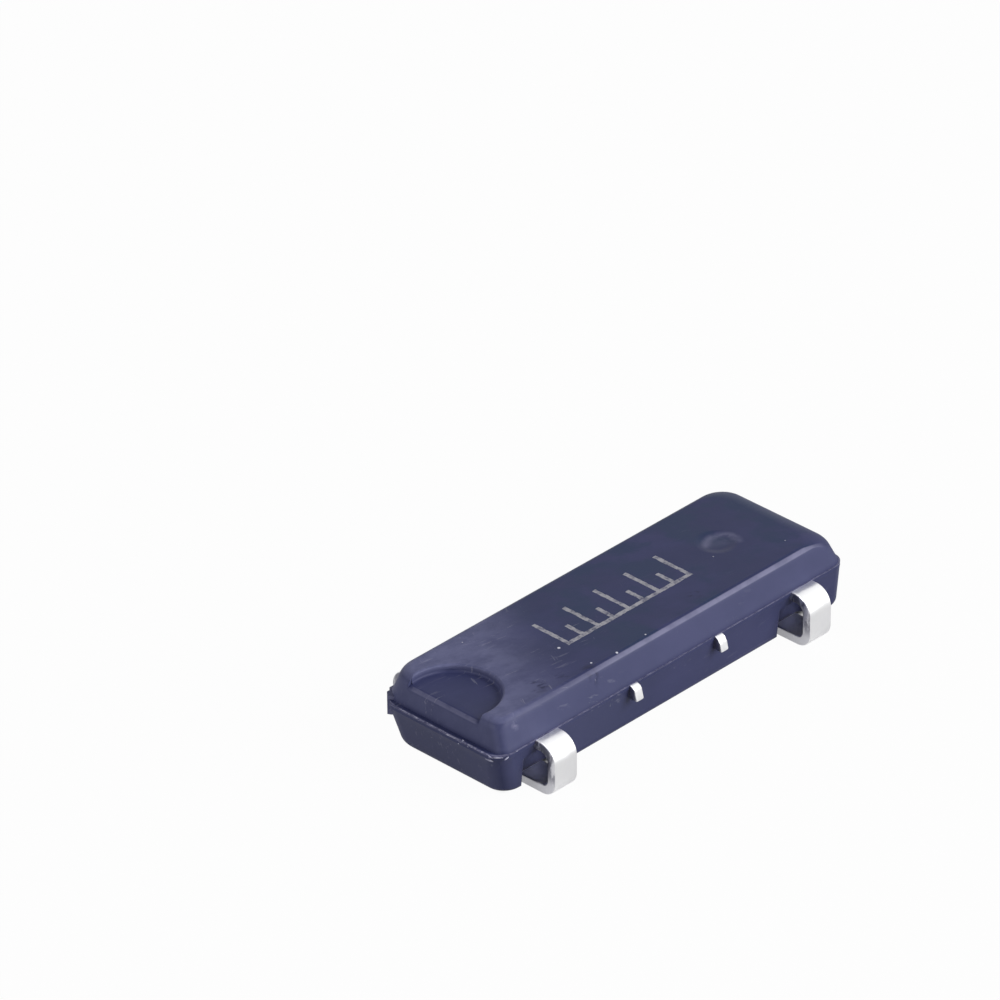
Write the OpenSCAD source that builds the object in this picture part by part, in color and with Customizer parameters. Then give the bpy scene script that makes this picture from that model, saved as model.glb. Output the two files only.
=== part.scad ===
// Surface-mount quartz crystal in a moulded resin body with four folded leads.
// Millimetres. X runs along the body towards the end without the index recess,
// Z is up from the board, and the origin is on the board under the body's middle.

/* [Moulded body] */
// Length of the body at its parting line
rim_l = 10.4; // [10.2:0.1:14]
// Width of the body at its parting line
rim_w = 3.48; // [3.4:0.02:4]
// Gap between the board and the body's underside
standoff = 0.1; // [0.04:0.02:0.16]
// Height of the lower half, from its underside to the parting line
lower_h = 1.1; // [1.02:0.02:1.6]
// Height of the upper half, from the parting line to the top face
upper_h = 0.65; // [0.55:0.05:1.2]
// Height of the straight rim under the parting line
rim_h = 0.1; // [0.06:0.02:0.16]
// How far the rim stands out from the lower wall
rim_proud = 0.02; // [0.01:0.01:0.06]
// Step from the rim to the upper half on the long sides
side_step = 0.02; // [0.02:0.01:0.08]
// Step from the rim to the upper half at the index end
index_step = 0.11; // [0.04:0.01:0.14]
// Step from the rim to the upper half at the far end
far_step = 0.04; // [0.02:0.01:0.1]
// Draft of the upper half's long sides, as the inset of the top face
top_side_draft = 0.22; // [0.1:0.01:0.3]
// Inset of the top face at the index end
top_index_draft = 0.24; // [0.1:0.01:0.4]
// Inset of the top face at the far end
top_far_draft = 0.24; // [0.2:0.01:0.6]
// Inset of each end's shoulder, where its wall turns over towards the top face
shoulder_inset = 0.11; // [0.04:0.01:0.2]
// Depth of the index end's shoulder under the top face
index_shoulder_drop = 0.2; // [0.14:0.01:0.36]
// Depth of the far end's shoulder under the top face
far_shoulder_drop = 0.28; // [0.14:0.01:0.36]
// Inset of the underside along the long sides
bottom_side_draft = 0.09; // [0.04:0.01:0.2]
// Inset of the underside at the index end
bottom_index_draft = 0.2; // [0.1:0.01:0.4]
// Inset of the underside at the far end, which stands nearly upright
bottom_far_draft = 0.03; // [0.01:0.01:0.2]

/* [Corners and edges] */
// Plan radius of the body's corners at the parting line
rim_corner_r = 0.4; // [0.3:0.05:0.7]
// Plan radius of the top face's corners
top_corner_r = 0.4; // [0.3:0.02:0.6]
// Plan radius of the underside's corners
bottom_corner_r = 0.44; // [0.3:0.02:0.6]
// Rounding of the top face's edge at the index end
top_edge_r = 0.13; // [0.06:0.01:0.2]
// Rounding of the top face's edge at the far end
top_far_edge_r = 0.28; // [0.1:0.01:0.32]
// Rounding of the underside's edge at the index end
bottom_edge_r = 0.16; // [0.06:0.01:0.2]
// Rounding of the underside's edge at the far end
bottom_far_edge_r = 0.28; // [0.1:0.01:0.32]

/* [Index recess and ejector marks] */
// Radius of the half-round index recess
index_r = 1.0; // [0.6:0.05:1.1]
// Distance of the recess's middle from the edge of the top face
index_inset = 0.15; // [0:0.05:0.3]
// Depth of the index recess
index_depth = 0.17; // [0.1:0.01:0.22]
// Diameter of each ejector pin's dimple
dimple_d = 0.95; // [0.6:0.05:1.1]
// Depth of each dimple
dimple_depth = 0.04; // [0.02:0.01:0.06]
// Place of the top dimple along the body
top_dimple_x = 3.1; // [2.6:0.1:3.2]
// Distance of the bottom dimple from the mould insert's centre
bottom_dimple_x = 3.2; // [2.6:0.1:3.6]

/* [Mould insert mark] */
// Diameter of the round mark that the mould insert leaves underneath
insert_d = 2.3; // [1.6:0.1:2.4]
// Depth of the mark
insert_depth = 0.05; // [0.03:0.01:0.08]
// Width of the mark's outer groove
insert_groove_w = 0.07; // [0.04:0.01:0.1]
// Diameter of the mark's plain middle
insert_core_d = 1.1; // [0.8:0.1:1.3]
// Number of radial bars round the middle
insert_bars = 12; // [8:1:16]
// Width of each radial bar
insert_bar_w = 0.1; // [0.06:0.02:0.14]

/* [Gate stubs] */
// Width of the broken-off mould gate at a rear corner
gate_w = 0.36; // [0.2:0.02:0.5]
// How far the gate's stub stands out of the rounded corner
gate_out = 0.07; // [0.05:0.01:0.2]
// Height of the gate's stub
gate_h = 0.44; // [0.3:0.02:0.5]
// How far the gate's stub rises above the parting line
gate_rise = 0.08; // [0.02:0.02:0.12]

/* [Leads] */
// Distance from the body's end to the nearest lead's centre
lead_inset = 1.39; // [1.3:0.01:1.6]
// Width over the outer faces of opposite leads
lead_span = 4.56; // [4.46:0.02:5.2]
// Width of a lead
lead_w = 0.66; // [0.5:0.02:0.8]
// Thickness of the lead-frame strip
strip_t = 0.22; // [0.16:0.01:0.24]
// Outer radius of the bend at a lead's shoulder
shoulder_r = 0.42; // [0.3:0.01:0.46]
// Outer radius of the bend at a lead's foot
foot_r = 0.35; // [0.28:0.01:0.45]
// Length of the foot, from the outer face to the tip
foot_l = 1.0; // [0.8:0.02:1.1]

/* [Lead pockets] */
// Width of the pocket in the body round a folded foot
pocket_w = 1.14; // [1.0:0.02:1.4]
// Clearance between a foot's tip and the pocket's back wall
pocket_gap = 0.08; // [0.04:0.01:0.14]
// Resin between the strip and the pocket's roof
pocket_roof_t = 0.1; // [0.06:0.01:0.16]
// Radius of the pocket's back corners
pocket_r = 0.16; // [0.06:0.01:0.3]
// How much the pocket's mouth opens out on each side
pocket_flare = 0.08; // [0.02:0.01:0.14]

/* [Lead anchors inside the resin] */
// Gap between the two terminal pads across the body
pad_gap = 0.2; // [0.14:0.02:0.26]
// Length of a terminal pad along the body
pad_l = 1.5; // [1.2:0.05:1.7]
// Width of a terminal pad across the body
pad_w = 0.75; // [0.6:0.05:0.85]
// Length of an anchor head along the body
head_l = 1.3; // [0.9:0.05:1.5]
// Width of an anchor head across the body
head_w = 0.32; // [0.2:0.02:0.36]

/* [Support bars] */
// Width of a support bar
bar_w = 0.22; // [0.18:0.02:0.4]
// How far a cut bar stands out of the rim
bar_out = 0.2; // [0.04:0.02:0.3]
// Length of a bar's inner head along the body
bar_head_l = 0.7; // [0.5:0.05:0.9]

/* [Crystal unit] */
// Diameter of the crystal's metal can
can_d = 1.2; // [1.1:0.02:1.24]
// Length of the can
can_l = 4.7; // [4.5:0.1:5]
// Wall of the can
can_wall = 0.1; // [0.06:0.01:0.12]
// Rounding of the can's closed end
can_end_r = 0.25; // [0.16:0.01:0.4]
// Place of the can's open end along the body
can_open_x = -1.4; // [-1.6:0.05:-1.2]
// Gap between the can and the anchors beside it
can_clear = 0.12; // [0.06:0.01:0.16]
// Length of the header that closes the can
header_l = 0.8; // [0.6:0.05:1]
// Wall of the header's metal ring
ring_wall = 0.07; // [0.05:0.01:0.09]
// Diameter of a crystal wire
wire_d = 0.16; // [0.12:0.01:0.18]
// Distance between the two wires
wire_pitch = 0.46; // [0.42:0.02:0.5]
// Length of wire that lies under a terminal pad
wire_on_pad = 1.1; // [0.8:0.05:1.2]

/* [Quartz fork] */
// Clearance between the fork's tips and the can's closed end
fork_tip_gap = 0.65; // [0.5:0.05:0.9]
// Width of the fork
fork_w = 0.62; // [0.58:0.01:0.68]
// Thickness of the quartz blank
fork_t = 0.12; // [0.08:0.01:0.16]
// Length of the solid base behind the tines
fork_base_l = 0.95; // [0.8:0.05:1.2]
// Width of the slot between the tines
fork_slot_w = 0.14; // [0.1:0.01:0.2]
// Gap between the header and the fork
fork_gap = 0.15; // [0.1:0.01:0.2]
// Length of each bond between a wire and the fork
bond_l = 0.32; // [0.2:0.02:0.4]
// Width of each bond
bond_w = 0.24; // [0.2:0.01:0.3]
// Thickness of the bond over and under the wire
bond_skin = 0.03; // [0.02:0.01:0.05]

/* [Hidden] */

// Heights above the board
bottom_z = standoff;
seam_z = standoff + lower_h;
top_z = seam_z + upper_h;
strip_z = seam_z - strip_t;
pocket_roof_z = strip_z - pocket_roof_t;

// Upper half at the parting line, its two ends and its side
upper_index_x = -rim_l / 2 + index_step;
upper_far_x = rim_l / 2 - far_step;
upper_side_y = rim_w / 2 - side_step;

// Edges of the top face and of the underside, before rounding
top_index_x = upper_index_x + top_index_draft;
top_far_x = upper_far_x - top_far_draft;
top_side_y = upper_side_y - top_side_draft;
bottom_index_x = -rim_l / 2 + rim_proud + bottom_index_draft;
bottom_far_x = rim_l / 2 - bottom_far_draft;
bottom_side_y = rim_w / 2 - rim_proud - bottom_side_draft;

// Middle of the gate stub's rounded tip, from the corner's own middle
gate_tip_x = rim_corner_r + gate_out - gate_w / 2;

// Leads and bars, which stand on one grid
lead_x = rim_l / 2 - lead_inset;
lead_y = lead_span / 2;
tip_y = lead_y - foot_l;
pocket_back_y = tip_y - pocket_gap;
bar_x = lead_x / 3;
bar_end_y = rim_w / 2 + bar_out;

// Crystal unit: the wires lie against the underside of the terminal pads
can_z = strip_z - wire_d / 2;
anchor_y = can_d / 2 + can_clear;
header_end_x = can_open_x + header_l;
fork_x = header_end_x + fork_gap;
fork_l = can_open_x + can_l - can_wall - fork_tip_gap - fork_x;
wire_out_x = -lead_x - lead_w / 2 + pad_l - wire_on_pad;
wire_in_x = fork_x + bond_l;
fork_z = can_z + wire_d / 2 + bond_skin;

skin = 0.02;
cut = 1;
$fn = 64;
blend_fn = 40;

resin_colour = [0.27, 0.28, 0.4];
tin_colour = [0.86, 0.87, 0.9];
nickel_colour = [0.72, 0.72, 0.7];
glass_colour = [0.25, 0.4, 0.35];
quartz_colour = [0.9, 0.93, 0.95];
solder_colour = [0.62, 0.63, 0.66];

// Two thin posts for the rounded corners of one end, whose outermost point is at x
module end_posts(x, side_y, r, z, h)
    for (y = [r - side_y, side_y - r])
        translate([x - sign(x) * r, y, z]) cylinder(h = h, r = r, $fn = blend_fn);

// The same two corners with a rounded edge of radius edge
module end_rings(x, side_y, r, z, edge)
    for (y = [r - side_y, side_y - r])
        translate([x - sign(x) * r, y, z]) rotate_extrude($fn = blend_fn) intersection() {
            translate([r - edge, 0]) circle(edge, $fn = blend_fn);
            translate([0, -edge]) square([r, 2 * edge]);
        }

module upper_half()
    hull() {
        shoulder_side_y = top_side_y + top_side_draft / 3;
        index_shoulder_z = top_z - index_shoulder_drop;
        end_posts(upper_index_x, upper_side_y, rim_corner_r, seam_z, skin);
        end_posts(upper_far_x, upper_side_y, rim_corner_r, seam_z, skin);
        end_posts(upper_index_x + shoulder_inset, shoulder_side_y, top_corner_r, index_shoulder_z, skin);
        end_posts(upper_far_x - shoulder_inset, shoulder_side_y, top_corner_r, top_z - far_shoulder_drop, skin);
        end_rings(top_index_x, top_side_y, top_corner_r, top_z - top_edge_r, top_edge_r);
        end_rings(top_far_x, top_side_y, top_corner_r, top_z - top_far_edge_r, top_far_edge_r);
    }

module lower_half()
    hull() {
        wall_side_y = rim_w / 2 - rim_proud;
        end_posts(-rim_l / 2 + rim_proud, wall_side_y, rim_corner_r, seam_z - rim_h - skin, rim_h);
        end_posts(rim_l / 2, wall_side_y, rim_corner_r, seam_z - rim_h - skin, rim_h);
        end_rings(bottom_index_x, bottom_side_y, bottom_corner_r, bottom_z + bottom_edge_r, bottom_edge_r);
        end_rings(bottom_far_x, bottom_side_y + bottom_side_draft / 3, bottom_corner_r,
            bottom_z + bottom_far_edge_r, bottom_far_edge_r);
    }

module rim()
    translate([0, 0, seam_z - rim_h]) linear_extrude(rim_h) {
        square([rim_l - 2 * rim_corner_r, rim_w], center = true);
        square([rim_l, rim_w - 2 * rim_corner_r], center = true);
        for (x = [-1, 1], y = [-1, 1])
            translate([x * (rim_l / 2 - rim_corner_r), y * (rim_w / 2 - rim_corner_r)]) circle(rim_corner_r);
    }

// Stub of resin where the mould's gate broke away, on a rear corner
module gate_stub(end)
    translate([end * (rim_l / 2 - rim_corner_r), rim_w / 2 - rim_corner_r, seam_z + gate_rise - gate_h])
        rotate(end > 0 ? 45 : 135) linear_extrude(gate_h) {
            translate([0, -gate_w / 2]) square([gate_tip_x, gate_w]);
            translate([gate_tip_x, 0]) circle(d = gate_w);
        }

module index_recess()
    translate([top_index_x + index_inset, 0, top_z - index_depth])
        cylinder(h = index_depth + cut, r = index_r);

module dimple(x, z) translate([x, 0, z]) cylinder(h = dimple_depth + cut, d = dimple_d);

// Round mark underneath: a grooved edge and radial bars round a plain middle
module insert_mark()
    translate([0, 0, bottom_z - cut]) {
        difference() {
            cylinder(h = cut + insert_depth, d = insert_d);
            translate([0, 0, -cut]) cylinder(h = 3 * cut, d = insert_d - 2 * insert_groove_w);
        }
        for (i = [0 : insert_bars - 1]) rotate(i * 360 / insert_bars)
            translate([insert_core_d / 2, -insert_bar_w / 2, 0])
                cube([(insert_d - insert_core_d) / 4, insert_bar_w, cut + insert_depth]);
    }

// Pocket for one foot on the front side, open to the side and underneath
module pocket()
    translate([0, 0, bottom_z - cut]) linear_extrude(pocket_roof_z - bottom_z + cut) {
        back_w = pocket_w - 2 * pocket_r;
        translate([-back_w / 2, -rim_w / 2 - cut]) square([back_w, rim_w / 2 + cut - pocket_back_y]);
        translate([-pocket_w / 2, -rim_w / 2 - cut])
            square([pocket_w, rim_w / 2 + cut - pocket_back_y - pocket_r]);
        for (x = [-1, 1]) translate([x * back_w / 2, -pocket_back_y - pocket_r]) circle(pocket_r);
        polygon([
            [-pocket_w / 2, -rim_w / 2 + pocket_flare], [pocket_w / 2, -rim_w / 2 + pocket_flare],
            [pocket_w / 2 + 2 * pocket_flare, -rim_w / 2 - pocket_flare],
            [-pocket_w / 2 - 2 * pocket_flare, -rim_w / 2 - pocket_flare]
        ]);
    }

// One quarter of a bent strip, from +X round to +Y of its own plane
module strip_bend(outer_r)
    intersection() {
        difference() { circle(outer_r); circle(outer_r - strip_t); }
        square(outer_r);
    }

// Side view of a lead outside the body: X here is the distance from the middle, Y is the height
module lead_section() {
    shoulder_y = lead_y - shoulder_r;
    translate([upper_side_y, strip_z]) square([shoulder_y - upper_side_y, strip_t]);
    translate([shoulder_y, seam_z - shoulder_r]) strip_bend(shoulder_r);
    translate([lead_y - strip_t, foot_r]) square([strip_t, seam_z - shoulder_r - foot_r]);
    translate([lead_y - foot_r, foot_r]) mirror([0, 1]) strip_bend(foot_r);
    translate([tip_y, 0]) square([foot_l - foot_r, strip_t]);
}

module lead_outside()
    translate([-lead_w / 2, 0, 0]) rotate([90, 0, 90]) mirror([1, 0, 0])
        linear_extrude(lead_w) lead_section();

// Terminal lead on the front side at the index end, with its pad over a crystal wire
module terminal_lead()
    translate([-lead_x, 0, 0]) {
        lead_outside();
        translate([0, 0, strip_z]) linear_extrude(strip_t) {
            translate([-lead_w / 2, -upper_side_y]) square([lead_w, upper_side_y - pad_gap / 2]);
            translate([-lead_w / 2, -pad_gap / 2 - pad_w]) square([pad_l, pad_w]);
        }
    }

// Lead on the front side at the far end, held in the resin by a wide head
module anchor_lead()
    translate([lead_x, 0, 0]) {
        lead_outside();
        translate([0, 0, strip_z]) linear_extrude(strip_t) {
            translate([-lead_w / 2, -upper_side_y]) square([lead_w, upper_side_y - anchor_y]);
            translate([-head_l / 2, -anchor_y - head_w]) square([head_l, head_w]);
        }
    }

// Bar of the lead frame on the front side, cut off just outside the rim
module support_bar(x)
    translate([x, 0, strip_z]) linear_extrude(strip_t) {
        translate([-bar_w / 2, -bar_end_y]) square([bar_w, bar_end_y - anchor_y]);
        translate([-bar_head_l / 2, -anchor_y - head_w]) square([bar_head_l, head_w]);
    }

// Turns a shape about Z into one about the crystal's axis, from the can's open end
module along_can() translate([can_open_x, 0, can_z]) rotate([0, 90, 0]) children();

// Outline of a closed can, from its axis: radius r, length l, end rounding e
module can_outline(r, l, e) {
    square([r, l - e]);
    square([r - e, l]);
    intersection() {
        translate([r - e, l - e]) circle(e);
        square([r, l]);
    }
}

module can_envelope() along_can() rotate_extrude() can_outline(can_d / 2, can_l, can_end_r);

module wire_at(y)
    translate([wire_out_x, y, can_z]) rotate([0, 90, 0]) cylinder(h = wire_in_x - wire_out_x, d = wire_d);

module both_wires() for (y = [-1, 1]) wire_at(y * wire_pitch / 2);

module bond_at(y)
    difference() {
        translate([fork_x, y - bond_w / 2, can_z - wire_d / 2 - bond_skin])
            cube([bond_l, bond_w, wire_d + 2 * bond_skin]);
        wire_at(y);
    }

module package_body()
    color(resin_colour) difference() {
        union() {
            upper_half();
            lower_half();
            rim();
            for (end = [-1, 1]) gate_stub(end);
        }
        index_recess();
        dimple(top_dimple_x, top_z - dimple_depth);
        dimple(-bottom_dimple_x, bottom_z - cut);
        insert_mark();
        for (x = [-lead_x, lead_x]) translate([x, 0, 0]) { pocket(); mirror([0, 1, 0]) pocket(); }
        for (side = [0, 1]) mirror([0, side, 0]) {
            terminal_lead();
            anchor_lead();
            support_bar(-bar_x);
            support_bar(bar_x);
        }
        can_envelope();
        both_wires();
    }

module terminal_lead_front() color(tin_colour) terminal_lead();
module terminal_lead_rear() color(tin_colour) mirror([0, 1, 0]) terminal_lead();
module anchor_lead_front() color(tin_colour) anchor_lead();
module anchor_lead_rear() color(tin_colour) mirror([0, 1, 0]) anchor_lead();
module support_bar_index_front() color(tin_colour) support_bar(-bar_x);
module support_bar_far_front() color(tin_colour) support_bar(bar_x);
module support_bar_index_rear() color(tin_colour) mirror([0, 1, 0]) support_bar(-bar_x);
module support_bar_far_rear() color(tin_colour) mirror([0, 1, 0]) support_bar(bar_x);

module crystal_can()
    color(nickel_colour) along_can() rotate_extrude() difference() {
        can_outline(can_d / 2, can_l, can_end_r);
        translate([0, -cut])
            can_outline(can_d / 2 - can_wall, can_l - can_wall + cut, can_end_r - can_wall / 2);
    }

module header_ring()
    color(nickel_colour) along_can() difference() {
        cylinder(h = header_l, r = can_d / 2 - can_wall);
        translate([0, 0, -cut]) cylinder(h = header_l + 2 * cut, r = can_d / 2 - can_wall - ring_wall);
    }

module glass_seal()
    color(glass_colour) difference() {
        along_can() cylinder(h = header_l, r = can_d / 2 - can_wall - ring_wall);
        both_wires();
    }

module crystal_wire_front() color(nickel_colour) wire_at(-wire_pitch / 2);
module crystal_wire_rear() color(nickel_colour) wire_at(wire_pitch / 2);

// Tuning fork: a base with two tines, lying on the bonds
module quartz_fork()
    color(quartz_colour) translate([fork_x, 0, fork_z]) linear_extrude(fork_t) difference() {
        translate([0, -fork_w / 2]) square([fork_l, fork_w]);
        translate([fork_base_l + fork_slot_w / 2, 0]) circle(d = fork_slot_w);
        translate([fork_base_l + fork_slot_w / 2, -fork_slot_w / 2]) square([fork_l, fork_slot_w]);
    }

module fork_bond_front() color(solder_colour) bond_at(-wire_pitch / 2);
module fork_bond_rear() color(solder_colour) bond_at(wire_pitch / 2);

package_body();
terminal_lead_front();
terminal_lead_rear();
anchor_lead_front();
anchor_lead_rear();
support_bar_index_front();
support_bar_far_front();
support_bar_index_rear();
support_bar_far_rear();
crystal_can();
header_ring();
glass_seal();
crystal_wire_front();
crystal_wire_rear();
quartz_fork();
fork_bond_front();
fork_bond_rear();
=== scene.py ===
"""Visual model of a surface-mount quartz crystal in a moulded resin body.

The meshes are drawn in millimetres and stored in metres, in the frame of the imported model.
"""

import enum
import logging
import math
import random
from dataclasses import dataclass
from functools import reduce

import bmesh
import bpy
from mathutils import Matrix, Vector, noise


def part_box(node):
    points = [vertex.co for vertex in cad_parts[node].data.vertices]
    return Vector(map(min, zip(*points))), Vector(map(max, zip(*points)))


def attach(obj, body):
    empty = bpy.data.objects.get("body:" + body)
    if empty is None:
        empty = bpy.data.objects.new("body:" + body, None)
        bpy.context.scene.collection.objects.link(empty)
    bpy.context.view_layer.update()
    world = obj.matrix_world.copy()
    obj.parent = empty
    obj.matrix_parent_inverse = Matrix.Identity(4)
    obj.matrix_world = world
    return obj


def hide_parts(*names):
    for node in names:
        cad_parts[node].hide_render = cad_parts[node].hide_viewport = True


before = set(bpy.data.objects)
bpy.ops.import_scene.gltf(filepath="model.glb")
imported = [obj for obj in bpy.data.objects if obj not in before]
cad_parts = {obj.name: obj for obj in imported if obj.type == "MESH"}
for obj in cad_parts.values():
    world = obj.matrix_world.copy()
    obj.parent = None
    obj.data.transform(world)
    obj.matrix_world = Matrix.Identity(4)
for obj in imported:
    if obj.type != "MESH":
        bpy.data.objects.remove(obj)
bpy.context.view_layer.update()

LOG = logging.getLogger("crystal")
MM = 0.001
# Radius that keeps a turned profile off its axis, and how much thinner a slab inside the resin is
AXIS_GAP = 0.02
SLAB_GAP = 0.0005

Point = tuple[float, float, float]
Ring = list[Point]
Span = tuple[float, float]
Colour = tuple[float, float, float, float]


def millimetres(node: str) -> tuple[Vector, Vector]:
    """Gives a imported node's lowest and highest corners in millimetres.

    Args:
        node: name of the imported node.

    Returns:
        The two corners.
    """
    low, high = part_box(node)
    return low / MM, high / MM


class End(enum.Enum):
    """The two ends of the body, by the sign of X."""

    INDEX = -1
    FAR = 1


class Side(enum.Enum):
    """The two long sides of the body, by the sign of Y."""

    FRONT = -1
    REAR = 1


class Face(enum.Enum):
    """The two flat faces of the body, by the sign of Z."""

    UNDERSIDE = -1
    TOP = 1


class Mesher:
    """Collects rings and faces in millimetres and turns them into one Blender object."""

    def __init__(self) -> None:
        """Starts with nothing drawn."""
        self.points: list[Point] = []
        self.faces: list[list[int]] = []

    def add_ring(self, ring: Ring) -> list[int]:
        """Adds the points of a ring.

        Args:
            ring: points in order.

        Returns:
            The points' numbers.
        """
        start = len(self.points)
        self.points.extend(ring)
        return list(range(start, len(self.points)))

    def loft(self, rings: list[Ring], capped: bool = True, joined: bool = False) -> "Mesher":
        """Joins rings of equal length into a tube.

        Args:
            rings: the rings, in order along the tube.
            capped: whether both ends are closed with a face.
            joined: whether the last ring is joined to the first.

        Returns:
            This mesher.
        """
        numbers = [self.add_ring(ring) for ring in rings]
        pairs = list(zip(numbers, numbers[1:]))
        if joined:
            pairs.append((numbers[-1], numbers[0]))
        for low, high in pairs:
            count = len(low)
            for i in range(count):
                j = (i + 1) % count
                self.faces.append([low[i], low[j], high[j], high[i]])
        if capped and not joined:
            self.faces.append(list(reversed(numbers[0])))
            self.faces.append(numbers[-1])
        return self

    def build(self, name: str) -> bpy.types.Object:
        """Makes the object, still in millimetres.

        Args:
            name: name of the object.

        Returns:
            The object, linked to the scene.
        """
        mesh = bpy.data.meshes.new(name)
        mesh.from_pydata(self.points, [], self.faces)
        mesh.validate()
        thing = bpy.data.objects.new(name, mesh)
        bpy.context.scene.collection.objects.link(thing)
        bpy.context.view_layer.update()
        self.face_outwards(thing)
        return thing

    @staticmethod
    def face_outwards(thing: bpy.types.Object) -> None:
        """Turns every face of a closed object outwards.

        Args:
            thing: the object, changed in place.
        """
        work = bmesh.new()
        work.from_mesh(thing.data)
        bmesh.ops.recalc_face_normals(work, faces=work.faces)
        work.to_mesh(thing.data)
        work.free()


class BooleanKind(enum.Enum):
    """What a cutter does to the piece that it meets."""

    CUT = "DIFFERENCE"
    ADD = "UNION"


def combine(thing: bpy.types.Object, others: list[bpy.types.Object], kind: BooleanKind) -> bpy.types.Object:
    """Cuts objects out of a piece, or adds them to it, and removes them.

    Args:
        thing: the piece, changed in place.
        others: the objects that are used up.
        kind: whether they cut or add.

    Returns:
        The piece.
    """
    for other in others:
        change = thing.modifiers.new("combine", "BOOLEAN")
        change.operation = kind.value
        change.solver = "EXACT"
        change.object = other
    graph = bpy.context.evaluated_depsgraph_get()
    mesh = bpy.data.meshes.new_from_object(thing.evaluated_get(graph))
    thing.modifiers.clear()
    thing.data = mesh
    for other in others:
        bpy.data.objects.remove(other)
    return thing


def finish_mesh(thing: bpy.types.Object, sharp_deg: float = 32.0) -> bpy.types.Object:
    """Brings a piece from millimetres to metres and smooths its shading.

    Args:
        thing: the piece, in millimetres.
        sharp_deg: edges with a greater angle stay sharp.

    Returns:
        The piece, in metres.
    """
    mesh = thing.data
    for vertex in mesh.vertices:
        vertex.co *= MM
    mesh.shade_smooth()
    mesh.set_sharp_from_angle(angle=math.radians(sharp_deg))
    weighted = thing.modifiers.new("weighted normals", "WEIGHTED_NORMAL")
    weighted.keep_sharp = True
    weighted.weight = 60
    return thing


def dress(
    thing: bpy.types.Object, material: bpy.types.Material, slot: str, replaced: str | None = None
) -> bpy.types.Object:
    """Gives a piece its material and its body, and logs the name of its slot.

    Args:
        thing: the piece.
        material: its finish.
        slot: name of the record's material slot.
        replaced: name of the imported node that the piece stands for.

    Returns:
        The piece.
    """
    thing.data.materials.clear()
    thing.data.materials.append(material)
    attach(thing, "root")
    if replaced:
        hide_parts(replaced)
    LOG.info("%s: %d faces, slot %s", thing.name, len(thing.data.polygons), slot)
    return thing


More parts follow.
